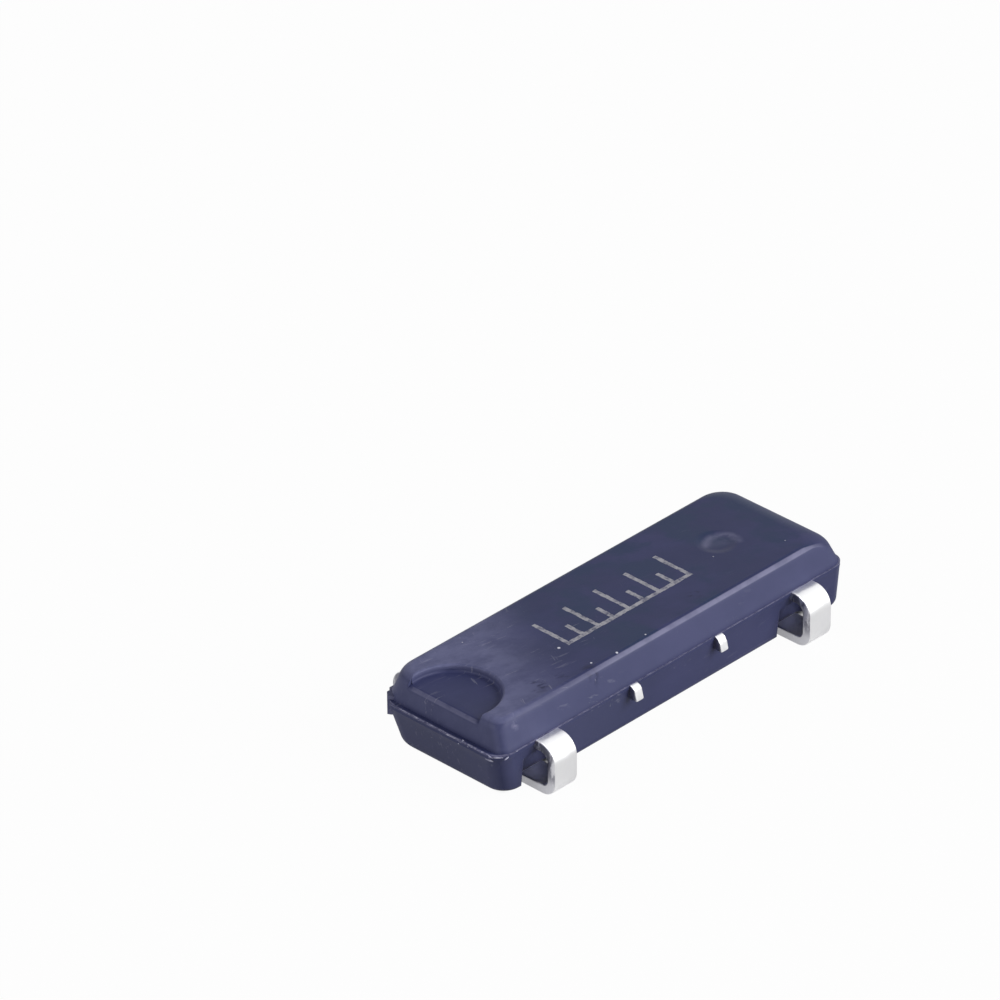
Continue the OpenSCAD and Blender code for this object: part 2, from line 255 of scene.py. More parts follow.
class Graph:
    """Node tree of one material or of the world."""

    def __init__(self, tree: bpy.types.NodeTree) -> None:
        """Empties the tree."""
        self.tree = tree
        tree.nodes.clear()

    def node(self, kind: str, settings: dict | None = None, inputs: dict | None = None) -> bpy.types.Node:
        """Adds a node.

        Args:
            kind: the node's type.
            settings: the node's own settings, set before its sockets.
            inputs: values, signals or output sockets by socket name or number.

        Returns:
            The node.
        """
        made = self.tree.nodes.new(kind)
        for name, value in (settings or {}).items():
            setattr(made, name, value)
        for key, value in (inputs or {}).items():
            socket = made.inputs[key]
            if isinstance(value, Signal):
                value = value.socket
            if isinstance(value, bpy.types.NodeSocket):
                self.tree.links.new(value, socket)
            else:
                socket.default_value = value
        return made

    def signal(
        self, kind: str, settings: dict | None = None, inputs: dict | None = None, output: str | int = 0
    ) -> "Signal":
        """Adds a node and wraps one of its outputs.

        Args:
            kind: the node's type.
            settings: the node's own settings.
            inputs: what goes into its sockets.
            output: name or number of the output.

        Returns:
            The wrapped output.
        """
        return Signal(self, self.node(kind, settings, inputs).outputs[output])

    def place(self, scale: Point = (1.0, 1.0, 1.0), turn_deg: float = 0.0) -> "Signal":
        """Gives the surface point in millimetres, turned about Z and then scaled.

        Args:
            scale: factor along each axis.
            turn_deg: turn about Z in degrees.

        Returns:
            The vector.
        """
        point = self.signal("ShaderNodeTexCoord", output="Object")
        rotation = (0, 0, math.radians(turn_deg))
        turned = self.signal("ShaderNodeMapping", inputs={"Vector": point, "Rotation": rotation})
        factors = tuple(value / MM for value in scale)
        return self.signal("ShaderNodeVectorMath", {"operation": "MULTIPLY"}, {0: turned, 1: factors})

    def facing(self) -> "Signal":
        """Gives the surface's outward direction in the piece's own axes."""
        return self.signal("ShaderNodeTexCoord", output="Normal")

    def axes(self, vector: "Signal") -> tuple["Signal", "Signal", "Signal"]:
        """Splits a vector into its three axes."""
        parts = self.node("ShaderNodeSeparateXYZ", inputs={0: vector}).outputs
        return Signal(self, parts["X"]), Signal(self, parts["Y"]), Signal(self, parts["Z"])

    def window(self, value: "Signal", span: Span) -> "Signal":
        """Turns a value into a soft mask.

        Args:
            value: the value.
            span: the value where the mask is 0, and the value where it is 1.

        Returns:
            The mask, with a smooth step between.
        """
        inputs = {"Value": value, "From Min": span[0], "From Max": span[1]}
        return self.signal("ShaderNodeMapRange", {"interpolation_type": "SMOOTHSTEP"}, inputs)

    def near(self, point: Point, reach_mm: float, flat: bool = False, core: float = 0.4) -> "Signal":
        """Gives a soft spot: 1 at a point and 0 beyond its reach.

        Args:
            point: middle of the spot in millimetres.
            reach_mm: radius of the spot.
            flat: whether the spot is a column that ignores the height.
            core: share of the radius where it is still 1.

        Returns:
            The value.
        """
        place = self.place((1.0, 1.0, 0.0) if flat else (1.0, 1.0, 1.0))
        inputs = {0: place, 1: point}
        away = self.signal("ShaderNodeVectorMath", {"operation": "DISTANCE"}, inputs, output="Value")
        return self.window(away, (reach_mm, reach_mm * core))

    def blend(
        self, factor: "Signal | float", first: "Colour | Signal", second: "Colour | Signal"
    ) -> "Signal":
        """Mixes two colours.

        Args:
            factor: 0 for the first colour and 1 for the second.
            first: a colour.
            second: another colour.

        Returns:
            The mixed colour.
        """
        inputs = {0: factor, 6: first, 7: second}
        return self.signal("ShaderNodeMix", {"data_type": "RGBA"}, inputs, output=2)

    def bump(self, height: "Signal", distance_mm: float, under: "Signal | None" = None) -> "Signal":
        """Turns a height into a normal.

        Args:
            height: height from 0 to 1.
            distance_mm: what a height of 1 stands for.
            under: a normal that this one goes on top of.

        Returns:
            The normal.
        """
        inputs = {"Height": height, "Distance": distance_mm * MM, "Strength": 1.0}
        if under is not None:
            inputs["Normal"] = under
        return self.signal("ShaderNodeBump", inputs=inputs)


class Signal:
    """An output socket that takes part in arithmetic."""

    def __init__(self, graph: Graph, socket: bpy.types.NodeSocket) -> None:
        """Wraps a socket of a graph."""
        self.graph = graph
        self.socket = socket

    def maths(self, operation: str, first: "Signal | float", second: "Signal | float" = 0.0) -> "Signal":
        """Adds a Math node.

        Args:
            operation: the node's operation.
            first: its first value.
            second: its second value.

        Returns:
            The result.
        """
        return self.graph.signal("ShaderNodeMath", {"operation": operation}, {0: first, 1: second})

    def __add__(self, other: "Signal | float") -> "Signal":
        """Adds."""
        return self.maths("ADD", self, other)

    __radd__ = __add__

    def __mul__(self, other: "Signal | float") -> "Signal":
        """Multiplies."""
        return self.maths("MULTIPLY", self, other)

    __rmul__ = __mul__

    def __sub__(self, other: "Signal | float") -> "Signal":
        """Subtracts a value from this one."""
        return self.maths("SUBTRACT", self, other)

    def __rsub__(self, other: float) -> "Signal":
        """Subtracts this one from a number."""
        return self.maths("SUBTRACT", other, self)

    def __truediv__(self, other: "Signal | float") -> "Signal":
        """Divides this one by a value."""
        return self.maths("DIVIDE", self, other)

    def __lt__(self, other: "Signal | float") -> "Signal":
        """Gives 1 where this one is less."""
        return self.maths("LESS_THAN", self, other)

    def __gt__(self, other: "Signal | float") -> "Signal":
        """Gives 1 where this one is greater."""
        return self.maths("GREATER_THAN", self, other)

    def __abs__(self) -> "Signal":
        """Drops the sign."""
        return self.maths("ABSOLUTE", self)

    def larger(self, other: "Signal | float") -> "Signal":
        """Gives the larger of two values."""
        return self.maths("MAXIMUM", self, other)

    def rest(self) -> "Signal":
        """Gives what is left after whole numbers."""
        return self.maths("FRACT", self)

    def at_least(self, low: float) -> "Signal":
        """Squeezes the range from 0 to 1 into the range from low to 1."""
        return low + (1.0 - low) * self


def new_material(name: str) -> tuple[bpy.types.Material, Graph]:
    """Makes an empty node material.

    Args:
        name: name of the material.

    Returns:
        The material and its graph.
    """
    material = bpy.data.materials.new(name)
    material.use_nodes = True
    return material, Graph(material.node_tree)


def close_material(graph: Graph, sockets: dict) -> None:
    """Adds the surface shader and the output.

    Args:
        graph: the material's graph.
        sockets: what goes into the shader's sockets.
    """
    shader = graph.signal("ShaderNodeBsdfPrincipled", inputs=sockets)
    graph.node("ShaderNodeOutputMaterial", inputs={"Surface": shader})


@dataclass(frozen=True)
class Lumps:
    """Noise over a surface.

    per_mm is how many lumps fit in a millimetre, detail and roughness are the number and the strength
    of the finer layers, cut is the noise where the mask is 0 and where it is 1, stretch squeezes the
    lumps along each axis, and turn_deg turns that about Z.
    """

    per_mm: float
    detail: float = 3.0
    roughness: float = 0.5
    cut: Span = (0.0, 1.0)
    stretch: Point = (1.0, 1.0, 1.0)
    turn_deg: float = 0.0

    def value(self, graph: Graph) -> Signal:
        """Gives the noise itself, from 0 to 1.

        Args:
            graph: the material's graph.

        Returns:
            The value.
        """
        place = graph.place(self.stretch, self.turn_deg)
        inputs = {"Vector": place, "Scale": self.per_mm, "Detail": self.detail, "Roughness": self.roughness}
        return graph.signal("ShaderNodeTexNoise", {"noise_dimensions": "3D"}, inputs)

    def mask(self, graph: Graph) -> Signal:
        """Gives the noise cut to a soft mask."""
        return graph.window(self.value(graph), self.cut)


@dataclass(frozen=True)
class RuledMark:
    """Plain etched scale on the top face, in place of any lettering. Sizes in millimetres."""

    middle_x: float = 0.0
    middle_y: float = 0.05
    length: float = 3.6
    height: float = 1.0
    ticks: int = 9
    stroke: float = 0.1
    short_share: float = 0.5
    ragged: float = 0.05
    shake: Lumps = Lumps(9.0)

    def mask(self, graph: Graph, top_z: float) -> Signal:
        """Draws the scale.

        Args:
            graph: the resin's graph.
            top_z: height of the top face.

        Returns:
            1 on the etched lines and 0 elsewhere.
        """
        x, y, z = graph.axes(graph.place())
        shake = (self.shake.value(graph) - 0.5) * self.ragged
        along = x - (self.middle_x - self.length / 2) + shake
        up = y - (self.middle_y - self.height / 2) + shake
        pitch = self.length / (self.ticks - 1)
        reach = abs(along - self.length / 2) < self.length / 2 + self.stroke / 2
        near_tick = abs((along / pitch + 0.5).rest() - 0.5) < self.stroke / 2 / pitch
        near_long = abs((along / (2 * pitch) + 0.5).rest() - 0.5) < self.stroke / 4 / pitch
        short = near_tick * (up < self.height * self.short_share)
        long = near_long * (up < self.height)
        base = abs(up) < self.stroke / 2
        lines = short.larger(long) * (up > 0.0)
        return lines.larger(base) * reach * (z > top_z - self.stroke / 2)


@dataclass(frozen=True)
class Landmarks:
    """Places on the moulded body that its finish follows, in millimetres."""

    top_z: float
    seam_z: float
    dimple_x: float
    recess_x: float

    def upper_half(self, graph: Graph) -> Signal:
        """Gives 1 above the parting line and 0 below it."""
        _, _, z = graph.axes(graph.place())
        return graph.window(z, (self.seam_z, self.seam_z + 0.1))

    def top_face(self, graph: Graph) -> Signal:
        """Gives 1 at the top face and 0 below it."""
        _, _, z = graph.axes(graph.place())
        return graph.window(z, (self.top_z - 0.12, self.top_z - 0.04))


@dataclass(frozen=True)
class MouldedResin:
    """Dark blue-violet moulding resin with scuffs, pale specks and worn spots, and with painted highlights
    and painted sheen.

    Places, fades along X and reaches are in millimetres. A tilt is a share of the surface's
    direction, and a strength is how far a layer goes towards its own colour.
    """

    marks: Landmarks
    deep: Colour = (0.024, 0.0285, 0.08, 1.0)
    cloudy: Colour = (0.036, 0.0395, 0.102, 1.0)
    # Pale tone of the dust and of the painted sheen.
    dusty_sheen: Colour = (0.11, 0.116, 0.215, 1.0)
    # Pale tone of the worn spots and of the painted highlights.
    worn_and_highlight: Colour = (0.165, 0.165, 0.265, 1.0)
    chill: Colour = (0.019, 0.031, 0.074, 1.0)
    dark: Colour = (0.016, 0.018, 0.05, 1.0)
    speck: Colour = (0.62, 0.62, 0.7, 1.0)
    etched: Colour = (0.33, 0.325, 0.36, 1.0)
    mark: RuledMark = RuledMark()
    etch_lumps: Lumps = Lumps(6.0, 3.0, 0.7, (0.2, 0.62))

    roughness: float = 0.4
    cloud_roughness: float = 0.1
    etch_roughness: float = 0.2
    scuff_roughness: float = 0.12
    specular: float = 0.13
    clouds: Lumps = Lumps(0.6, 4.0, 0.6, (0.35, 0.7), (0.8, 1.4, 1.0), 20.0)
    grain: Lumps = Lumps(26.0, 4.0, 0.65)
    grain_mm: float = 0.0016
    waves: Lumps = Lumps(0.9, 2.0, 0.4)
    wave_mm: float = 0.012
    scuff_mm: float = 0.0012

    scratches: Lumps = Lumps(1.9, 5.0, 0.6, (0.6, 0.67), (0.8, 8.0, 3.0), 8.0)
    cross_scratches: Lumps = Lumps(1.7, 5.0, 0.6, (0.65, 0.7), (6.0, 0.9, 3.0), 24.0)
    scratched_parts: Lumps = Lumps(0.7, 2.0, 0.5, (0.46, 0.62))
    scratch_fade: Span = (1.0, -3.0)
    scratch_low: float = 0.2
    scratch_strength: float = 0.12

    specks_per_mm: float = 3.4
    speck_share: float = 0.05
    speck_rarity: float = 0.93
    speck_strength: float = 0.6
    speck_places: tuple[Point, ...] = (
        (-2.07, -0.43, 0.042), (-2.03, -1.29, 0.03), (-1.39, -1.4, 0.036), (-0.5, -1.36, 0.025),
    )

    smears: tuple[Point, ...] = (
        (-3.4, -1.1, 0.3), (-2.8, -1.3, 0.28), (-2.2, -1.42, 0.22), (1.3, -1.05, 0.2),
    )
    smear_lumps: Lumps = Lumps(5.0, 4.0, 0.6, (0.46, 0.62), (0.7, 1.6, 1.0), 20.0)
    smear_and_reflection_strength: float = 0.8

    # Painted highlight along the rounded crease of the long sides, weaker towards the index end; the chafe
    # is a worn spot.
    crease_turn: Span = (0.39, 0.47)
    crease_tilt: Span = (0.48, 0.6)
    crease_start: Span = (-4.7, -3.8)
    crease_rise: Span = (-3.8, -0.4)
    crease_end: Span = (4.9, 4.2)
    crease_low: float = 0.25
    crease_lumps: Lumps = Lumps(2.2, 4.0, 0.6, (0.35, 0.6))
    crease_lumps_low: float = 0.72
    crease_above_seam: float = 0.3
    chafe_place: Point = (-4.52, -1.48, 1.62)
    chafe_reach: float = 0.17
    chafe_lumps: Lumps = Lumps(5.0, 3.0, 0.6, (0.4, 0.6))
    chafe_strength: float = 0.8

    # Painted highlight on the top dimple's rear rim.
    dimple_highlight_middle: tuple[float, float] = (0.06, -0.13)
    dimple_highlight_reach: float = 0.5
    dimple_highlight_hole: float = 0.36
    dimple_highlight_lumps: Lumps = Lumps(3.2, 3.0, 0.6, (0.35, 0.6))
    dimple_highlight_lumps_low: float = 0.4
    dimple_highlight_strength: float = 0.5

    # Painted highlight on the recess's rounded sill; the facet's pale tone is the gate's worn break.
    sill_tilt: Span = (0.28, 0.42)
    sill_reach: float = 0.98
    sill_lumps: Lumps = Lumps(2.4, 3.0, 0.6, (0.25, 0.5))
    sill_strength: float = 0.45
    facet_tilt: Span = (0.36, 0.45)
    facet_offset: tuple[float, float] = (-0.3, 1.54)
    facet_strength: float = 0.7

    # Dusty mottling with a painted sheen that grows towards the index end.
    dust_and_sheen_lumps: Lumps = Lumps(1.5, 5.0, 0.65, (0.3, 0.68), (1.0, 1.5, 1.0), 15.0)
    dust_and_sheen_low: float = 0.45
    dust_and_sheen_fade: Span = (-1.7, -3.9)
    dust_and_sheen_on_walls: float = 0.35
    chill_lumps: Lumps = Lumps(0.9, 4.0, 0.6, (0.42, 0.6), (1.0, 1.3, 1.0), 33.0)
    chill_fade: Span = (-2.6, -0.6)
    chill_strength: float = 0.8
    # Painted sheen that lightens the walls, picked by how they face.
    wall_sheen_tilt: Span = (0.6, 0.9)
    wall_sheen_everywhere: float = 0.1
    wall_sheen_upper: float = 0.23
    wall_sheen_lower_index: float = 0.12
    wall_sheen_fade: Span = (-0.5, -2.5)

    def scuffs(self, graph: Graph) -> Signal:
        """Draws faint short scratches, most of them near the index end.

        Args:
            graph: the resin's graph.

        Returns:
            1 on the scratches and 0 elsewhere.
        """
        x, _, _ = graph.axes(graph.place())
        lines = self.scratches.mask(graph).larger(self.cross_scratches.mask(graph))
        fade = graph.window(x, self.scratch_fade).at_least(self.scratch_low)
        return lines * self.scratched_parts.mask(graph) * fade

    def specks(self, graph: Graph) -> Signal:
        """Draws pale dust specks: the few that stand out on the top face, and sparse smaller ones.

        Args:
            graph: the resin's graph.

        Returns:
            1 on the specks that stand out, less on the others, and 0 elsewhere.
        """
        inputs = {"Vector": graph.place(), "Scale": self.specks_per_mm, "Randomness": 1.0}
        cells = graph.node("ShaderNodeTexVoronoi", {"feature": "F1"}, inputs)
        near = Signal(graph, cells.outputs["Distance"]) < self.speck_share
        number = graph.signal("ShaderNodeSeparateColor", inputs={0: cells.outputs["Color"]})
        spots = [near * (number > self.speck_rarity) * self.speck_strength]
        spots += [graph.near((x, y, self.marks.top_z), size) for x, y, size in self.speck_places]
        return reduce(Signal.larger, spots)

    def dirt(self, graph: Graph) -> Signal:
        """Draws dark smears beside the front edge of the top face.

        Args:
            graph: the resin's graph.

        Returns:
            How far the smears go towards their colour.
        """
        spots = [graph.near((x, y, 0.0), size, flat=True) for x, y, size in self.smears]
        found = self.smear_lumps.mask(graph) * reduce(Signal.larger, spots)
        return found * self.marks.upper_half(graph) * self.smear_and_reflection_strength

    def edges(self, graph: Graph) -> Signal:
        """Draws a painted highlight along the band where the upper half's long sides turn over to the top
        face, and the worn chafe at the index end's front corner.

        Args:
            graph: the resin's graph.

        Returns:
            How far the surface goes towards the pale tone.
        """
        x, _, z = graph.axes(graph.place())
        _, ny, nz = graph.axes(graph.facing())
        # Painted highlight, picked by how the surface turns over to the top face.
        turn = graph.window(abs(ny) * nz, self.crease_turn) * graph.window(nz, self.crease_tilt)
        rise = graph.window(x, self.crease_rise).at_least(self.crease_low)
        length = rise * graph.window(x, self.crease_start) * graph.window(x, self.crease_end)
        length = length * (z > self.marks.seam_z + self.crease_above_seam)
        band = turn * length * self.crease_lumps.mask(graph).at_least(self.crease_lumps_low)
        chafe = graph.near(self.chafe_place, self.chafe_reach) * self.chafe_lumps.mask(graph)
        return band.larger(chafe * self.chafe_strength)

    def painted_dimple_highlight(self, graph: Graph) -> Signal:
        """Draws a painted highlight: the pale arc along the top dimple's rear rim.

        Args:
            graph: the resin's graph.

        Returns:
            How far the arc goes towards the pale tone.
        """
        x, y, _ = graph.axes(graph.place())
        middle = (self.marks.dimple_x + self.dimple_highlight_middle[0], self.dimple_highlight_middle[1], 0.0)
        inner = graph.near(middle, self.dimple_highlight_hole, flat=True, core=0.5)
        ring = graph.near(middle, self.dimple_highlight_reach, flat=True, core=0.7) * (1.0 - 0.7 * inner)
        rear = graph.window(0.5 * (x - middle[0]) + 0.87 * (y - middle[1]), (-0.14, 0.08))
        found = ring * rear * self.dimple_highlight_lumps.mask(graph).at_least(self.dimple_highlight_lumps_low)
        return found * self.marks.upper_half(graph) * self.dimple_highlight_strength

    def sill_highlight_and_gate_wear(self, graph: Graph) -> Signal:
        """Draws a painted highlight on the recess's sill, and the wear on the facet that the gate left at
        the index end.

        Args:
            graph: the resin's graph.

        Returns:
            How far the surface goes towards the pale tone.
        """
        x, _, z = graph.axes(graph.place())
        nx, ny, nz = graph.axes(graph.facing())
        recess_x, seam_z = self.marks.recess_x, self.marks.seam_z
        # Painted highlight where the sill turns over.
        sill = graph.window(abs(nx) * nz, self.sill_tilt)
        sill = sill * graph.window(x, (recess_x - 0.15, recess_x - 0.25))
        sill = sill * graph.near((recess_x, 0.0, 0.0), self.sill_reach, flat=True, core=0.9)
        facet_place = (recess_x + self.facet_offset[0], self.facet_offset[1], 0.0)
        facet = graph.window(abs(nx * ny), self.facet_tilt)
        facet = facet * graph.near(facet_place, 0.4, flat=True, core=0.8)
        facet = facet * graph.window(z, (seam_z + 0.16, seam_z + 0.08))
        facet = facet * graph.window(z, (seam_z - 0.5, seam_z - 0.4))
        return (sill * self.sill_strength * self.sill_lumps.mask(graph)).larger(facet * self.facet_strength)

    def dust_and_sheen(self, graph: Graph) -> Signal:
        """Draws dusty mottling and a painted sheen that grows towards the index end, which the recess stays
        clear of.

        Args:
            graph: the resin's graph.

        Returns:
            How far the surface goes towards the dusty sheen tone.
        """
        x, y, z = graph.axes(graph.place())
        top_z = self.marks.top_z
        mottling = self.dust_and_sheen_lumps.mask(graph).at_least(self.dust_and_sheen_low)
        recess = graph.near((self.marks.recess_x, 0.0, 0.0), 1.1, flat=True, core=0.9)
        recess = recess * graph.window(z, (top_z - 0.3, top_z - 0.18))
        walls = self.dust_and_sheen_on_walls * ((1.0 - recess) * self.marks.upper_half(graph))
        where = self.marks.top_face(graph).larger(walls)
        # Painted sheen, stronger towards the index end, over the dusty mottling.
        return graph.window(x - 0.5 * y, self.dust_and_sheen_fade) * mottling * where

    def chilled(self, graph: Graph) -> Signal:
        """Draws the cooler patches of the top face, away from the index end.

        Args:
            graph: the resin's graph.

        Returns:
            How far the patches go towards their colour.
        """
        x, _, _ = graph.axes(graph.place())
        patches = self.chill_lumps.mask(graph) * self.marks.top_face(graph)
        return patches * graph.window(x, self.chill_fade) * self.chill_strength

    def painted_wall_sheen(self, graph: Graph) -> Signal:
        """Draws a painted sheen that lightens the walls: most above the parting line, and more at the lower
        half's index end.

        Args:
            graph: the resin's graph.

        Returns:
            How far the walls go towards the dusty sheen tone.
        """
        x, _, _ = graph.axes(graph.place())
        nx, ny, _ = graph.axes(graph.facing())
        upper = self.marks.upper_half(graph)
        lower_index = self.wall_sheen_lower_index * graph.window(x, self.wall_sheen_fade) * (1.0 - upper)
        amount = self.wall_sheen_everywhere + lower_index + self.wall_sheen_upper * upper
        return graph.window(abs(ny).larger(abs(nx)), self.wall_sheen_tilt) * amount

    def material(self) -> bpy.types.Material:
        """Makes the material.

        Returns:
            The material.
        """
        made, graph = new_material("moulded_resin")
        cloud = self.clouds.mask(graph)
        scuffs = self.scuffs(graph)
        etched = self.mark.mask(graph, self.marks.top_z)
        colour = graph.blend(cloud, self.deep, self.cloudy)
        layers = [
            (self.chilled(graph), self.chill),
            # Dust with a painted sheen towards the index end.
            (self.dust_and_sheen(graph), self.dusty_sheen),
            # Painted sheen on the walls.
            (self.painted_wall_sheen(graph), self.dusty_sheen),
            (self.dirt(graph), self.dark),
            # Painted highlight on the dimple's rear rim.
            (self.painted_dimple_highlight(graph), self.worn_and_highlight),
            # Painted highlights on the crease and the sill, with the worn chafe and the gate facet.
            (self.edges(graph).larger(self.sill_highlight_and_gate_wear(graph)), self.worn_and_highlight),
            (scuffs * self.scratch_strength, self.speck),
            (self.specks(graph), self.speck),
            (etched * self.etch_lumps.mask(graph), self.etched),
        ]
        for amount, over in layers:
            colour = graph.blend(amount, colour, over)
        rough = self.roughness + self.cloud_roughness * cloud
        rough = rough + self.etch_roughness * etched + self.scuff_roughness * scuffs
        grain = graph.bump(self.grain.value(graph), self.grain_mm)
        wavy = graph.bump(self.waves.value(graph), self.wave_mm, grain)
        normal = graph.bump(1.0 - scuffs.larger(etched), self.scuff_mm, wavy)
        close_material(graph, {
            "Base Color": colour, "Roughness": rough, "Specular IOR Level": self.specular, "Normal": normal,
        })
        return made


@dataclass(frozen=True)
class PlatedMetal:
    """Plated strip or wire: satin metal with drawn lines and duller patches."""

    name: str
    bright: Colour = (0.96, 0.96, 0.97, 1.0)
    dull: Colour = (0.82, 0.82, 0.85, 1.0)
    roughness: float = 0.3
    patches: Lumps = Lumps(1.4, 4.0, 0.6, (0.42, 0.72))
    patch_dulling: float = 0.6
    patch_roughness: float = 0.16
    lines: Lumps = Lumps(3.0, 4.0, 0.6, stretch=(9.0, 1.0, 1.0))
    line_dulling: float = 0.15
    lines_mm: float = 0.0015
    dents: Lumps = Lumps(2.2, 2.0, 0.5)
    dents_mm: float = 0.01

    def tone(self, graph: Graph, duller: Signal) -> Signal:
        """Gives the metal's colour.

        Args:
            graph: the material's graph.
            duller: how dull the plating is, from 0 to 1.

        Returns:
            The colour.
        """
        return graph.blend(duller, self.bright, self.dull)

    def material(self) -> bpy.types.Material:
        """Makes the material.

        Returns:
            The material.
        """
        made, graph = new_material(self.name)
        patches = self.patches.mask(graph)
        lines = self.lines.value(graph)
        dents = graph.bump(self.dents.value(graph), self.dents_mm)
        close_material(graph, {
            "Base Color": self.tone(graph, patches * self.patch_dulling + lines * self.line_dulling),
            "Metallic": 1.0,
            "Roughness": self.roughness + self.patch_roughness * patches,
            "Normal": graph.bump(lines, self.lines_mm, dents),
        })
        return made


@dataclass(frozen=True)
class TinnedStrip(PlatedMetal):
    """Tin-plated strip, whose edges were cut after plating and show dark bare alloy, with painted glints in
    pale streaks and a painted floor reflection low down.
    """

    bare: Colour = (0.27, 0.27, 0.32, 1.0)
    # Pale tone of the painted glints and of the painted floor reflection on the cut faces.
    glint_and_reflection: Colour = (0.8, 0.8, 0.84, 1.0)
    glint_streaks: Lumps = Lumps(3.2, 5.0, 0.7, (0.45, 0.62), (1.0, 2.4, 0.8), 12.0)
    cut_tilt: Span = (0.55, 0.85)
    reflection_height_mm: float = 0.55
    reflection_full: float = 0.45
    smear_and_reflection_strength: float = 0.85

    def tone(self, graph: Graph, duller: Signal) -> Signal:
        """Gives the plating's colour, or on the faces that the press tool cut, dark bare alloy with painted
        glints and a painted floor reflection.

        Args:
            graph: the material's graph.
            duller: how dull the plating is, from 0 to 1.

        Returns:
            The colour.
        """
        nx, _, _ = graph.axes(graph.facing())
        _, _, z = graph.axes(graph.place())
        # Painted floor reflection low down and painted glints in pale streaks, on the cut faces.
        low = graph.window(z, (self.reflection_height_mm, self.reflection_height_mm * self.reflection_full))
        smears = self.glint_streaks.mask(graph).larger(low * self.smear_and_reflection_strength)
        cut = graph.blend(smears, self.bare, self.glint_and_reflection)
        return graph.blend(graph.window(abs(nx), self.cut_tilt), super().tone(graph, duller), cut)


@dataclass(frozen=True)
class ClearSolid:
    """Glass or quartz: a clear solid with faint clouds."""

    name: str
    tint: Colour
    cloud: Colour
    roughness: float
    transmission: float
    clouds: Lumps = Lumps(2.0, 4.0, 0.5, (0.4, 0.75))
    cloud_roughness: float = 0.08
    ripples: Lumps = Lumps(12.0)
    ripple_mm: float = 0.0008

    def material(self) -> bpy.types.Material:
        """Makes the material.

        Returns:
            The material.
        """
        made, graph = new_material(self.name)
        clouds = self.clouds.mask(graph)
        close_material(graph, {
            "Base Color": graph.blend(clouds, self.tint, self.cloud),
            "Roughness": self.roughness + self.cloud_roughness * clouds,
            "Transmission Weight": self.transmission,
            "Normal": graph.bump(self.ripples.value(graph), self.ripple_mm),
        })
        return made


@dataclass(frozen=True)
class BrokenResin:
    """Broken edge of the resin, where flash has chipped away."""

    name: str
    pale: Colour
    dark: Colour
    roughness: float = 0.5
    pale_roughness: float = 0.2
    patches: Lumps = Lumps(7.0, 4.0, 0.7, (0.4, 0.6))
    grit: Lumps = Lumps(22.0, 4.0, 0.7)
    grit_mm: float = 0.006

    def material(self) -> bpy.types.Material:
        """Makes the material.

        Returns:
            The material.
        """
        made, graph = new_material(self.name)
        patches = self.patches.mask(graph)
        close_material(graph, {
            "Base Color": graph.blend(patches, self.dark, self.pale),
            "Roughness": self.roughness + self.pale_roughness * patches,
            "Normal": graph.bump(self.grit.value(graph), self.grit_mm),
        })
        return made


@dataclass(frozen=True)
class Wall:
    """Side view of one wall of a moulded half, which turns over to the half's flat face.

    Sizes in millimetres: start is the distance from the body's middle at the parting line, draft
    is how far the whole wall leans in, and drop and inset are the height and depth of the
    rounding at the face.
    """

    start: float
    draft: float
    drop: float
    inset: float

    def at(self, rise: float, height: float) -> float:
        """Gives the wall's distance from the middle.

        Args:
            rise: distance from the parting line, towards the face.
            height: distance of the face from the parting line.

        Returns:
            The distance, in millimetres.
        """
        turn = min(max(0.0, (rise - height + self.drop) / self.drop), 1.0)
        return self.start - self.draft * rise / height - self.inset * (1 - math.sqrt(1 - turn * turn))


@dataclass(frozen=True)
class Half:
    """One half of the body: two end walls, the side walls and the plan radius of each end's corners.

    The index end's rear corner, where the mould's gate was, is rounder by rear_extra.
    """

    index: Wall
    far: Wall
    side: Wall
    index_corner: Wall
    far_corner: Wall
    height: float
    rear_extra: float = 0.0

    def ring(self, rise: float, z: float, grow: float = 0.0, steps: int = 16) -> Ring:
        """Draws the outline at one level.

        Args:
            rise: distance from the parting line, towards the face.
            z: height over the board.
            grow: how far the outline moves outwards.
            steps: number of edges in each corner.

        Returns:
            The points, anticlockwise from above.
        """
        walls = (self.index, self.far, self.side, self.index_corner, self.far_corner)
        x0, x1, y, r0, r1 = (wall.at(rise, self.height) for wall in walls)
        rear = r0 + self.rear_extra
        points: Ring = []
        for quarter, (cx, cy, corner) in enumerate([
            (x1 - r1, y - r1, r1), (rear - x0, y - rear, rear), (r0 - x0, r0 - y, r0), (x1 - r1, r1 - y, r1),
        ]):
            for step in range(steps + 1):
                angle = math.pi / 2 * (quarter + step / steps)
                radius = corner + grow
                points.append((cx + radius * math.cos(angle), cy + radius * math.sin(angle), z))
        return points

    def rings(self, start_z: float, face_z: float, straight: int = 4, turns: int = 12) -> list[Ring]:
        """Draws the half's levels, from its first straight level to its face.

        Args:
            start_z: height of the parting line's side.
            face_z: height of the face.
            straight: number of levels in the straight part.
            turns: number of levels in the rounding.

        Returns:
            The rings, towards the face.
        """
        deepest = max(self.index.drop, self.far.drop, self.side.drop)
        shares = [(self.height - deepest) * i / straight for i in range(1, straight)]
        shares += [self.height - deepest * (1 - math.sin(math.pi / 2 * i / turns)) for i in range(turns + 1)]
        way = 1 if face_z > start_z else -1
        return [self.ring(rise, start_z + way * rise) for rise in shares]


def revolve(profile: list[tuple[float, float]], x: float, steps: int = 96) -> Mesher:
    """Turns a profile about an upright axis.

    Args:
        profile: radius and height of each point; the first and last are near the axis.
        x: place of the axis along the body.
        steps: number of edges round the axis.

    Returns:
        A mesher that holds the closed solid.
    """
    turns = [2 * math.pi * i / steps for i in range(steps)]
    rings = [[(x + r * math.cos(a), r * math.sin(a), z) for a in turns] for r, z in profile]
    return Mesher().loft(rings)


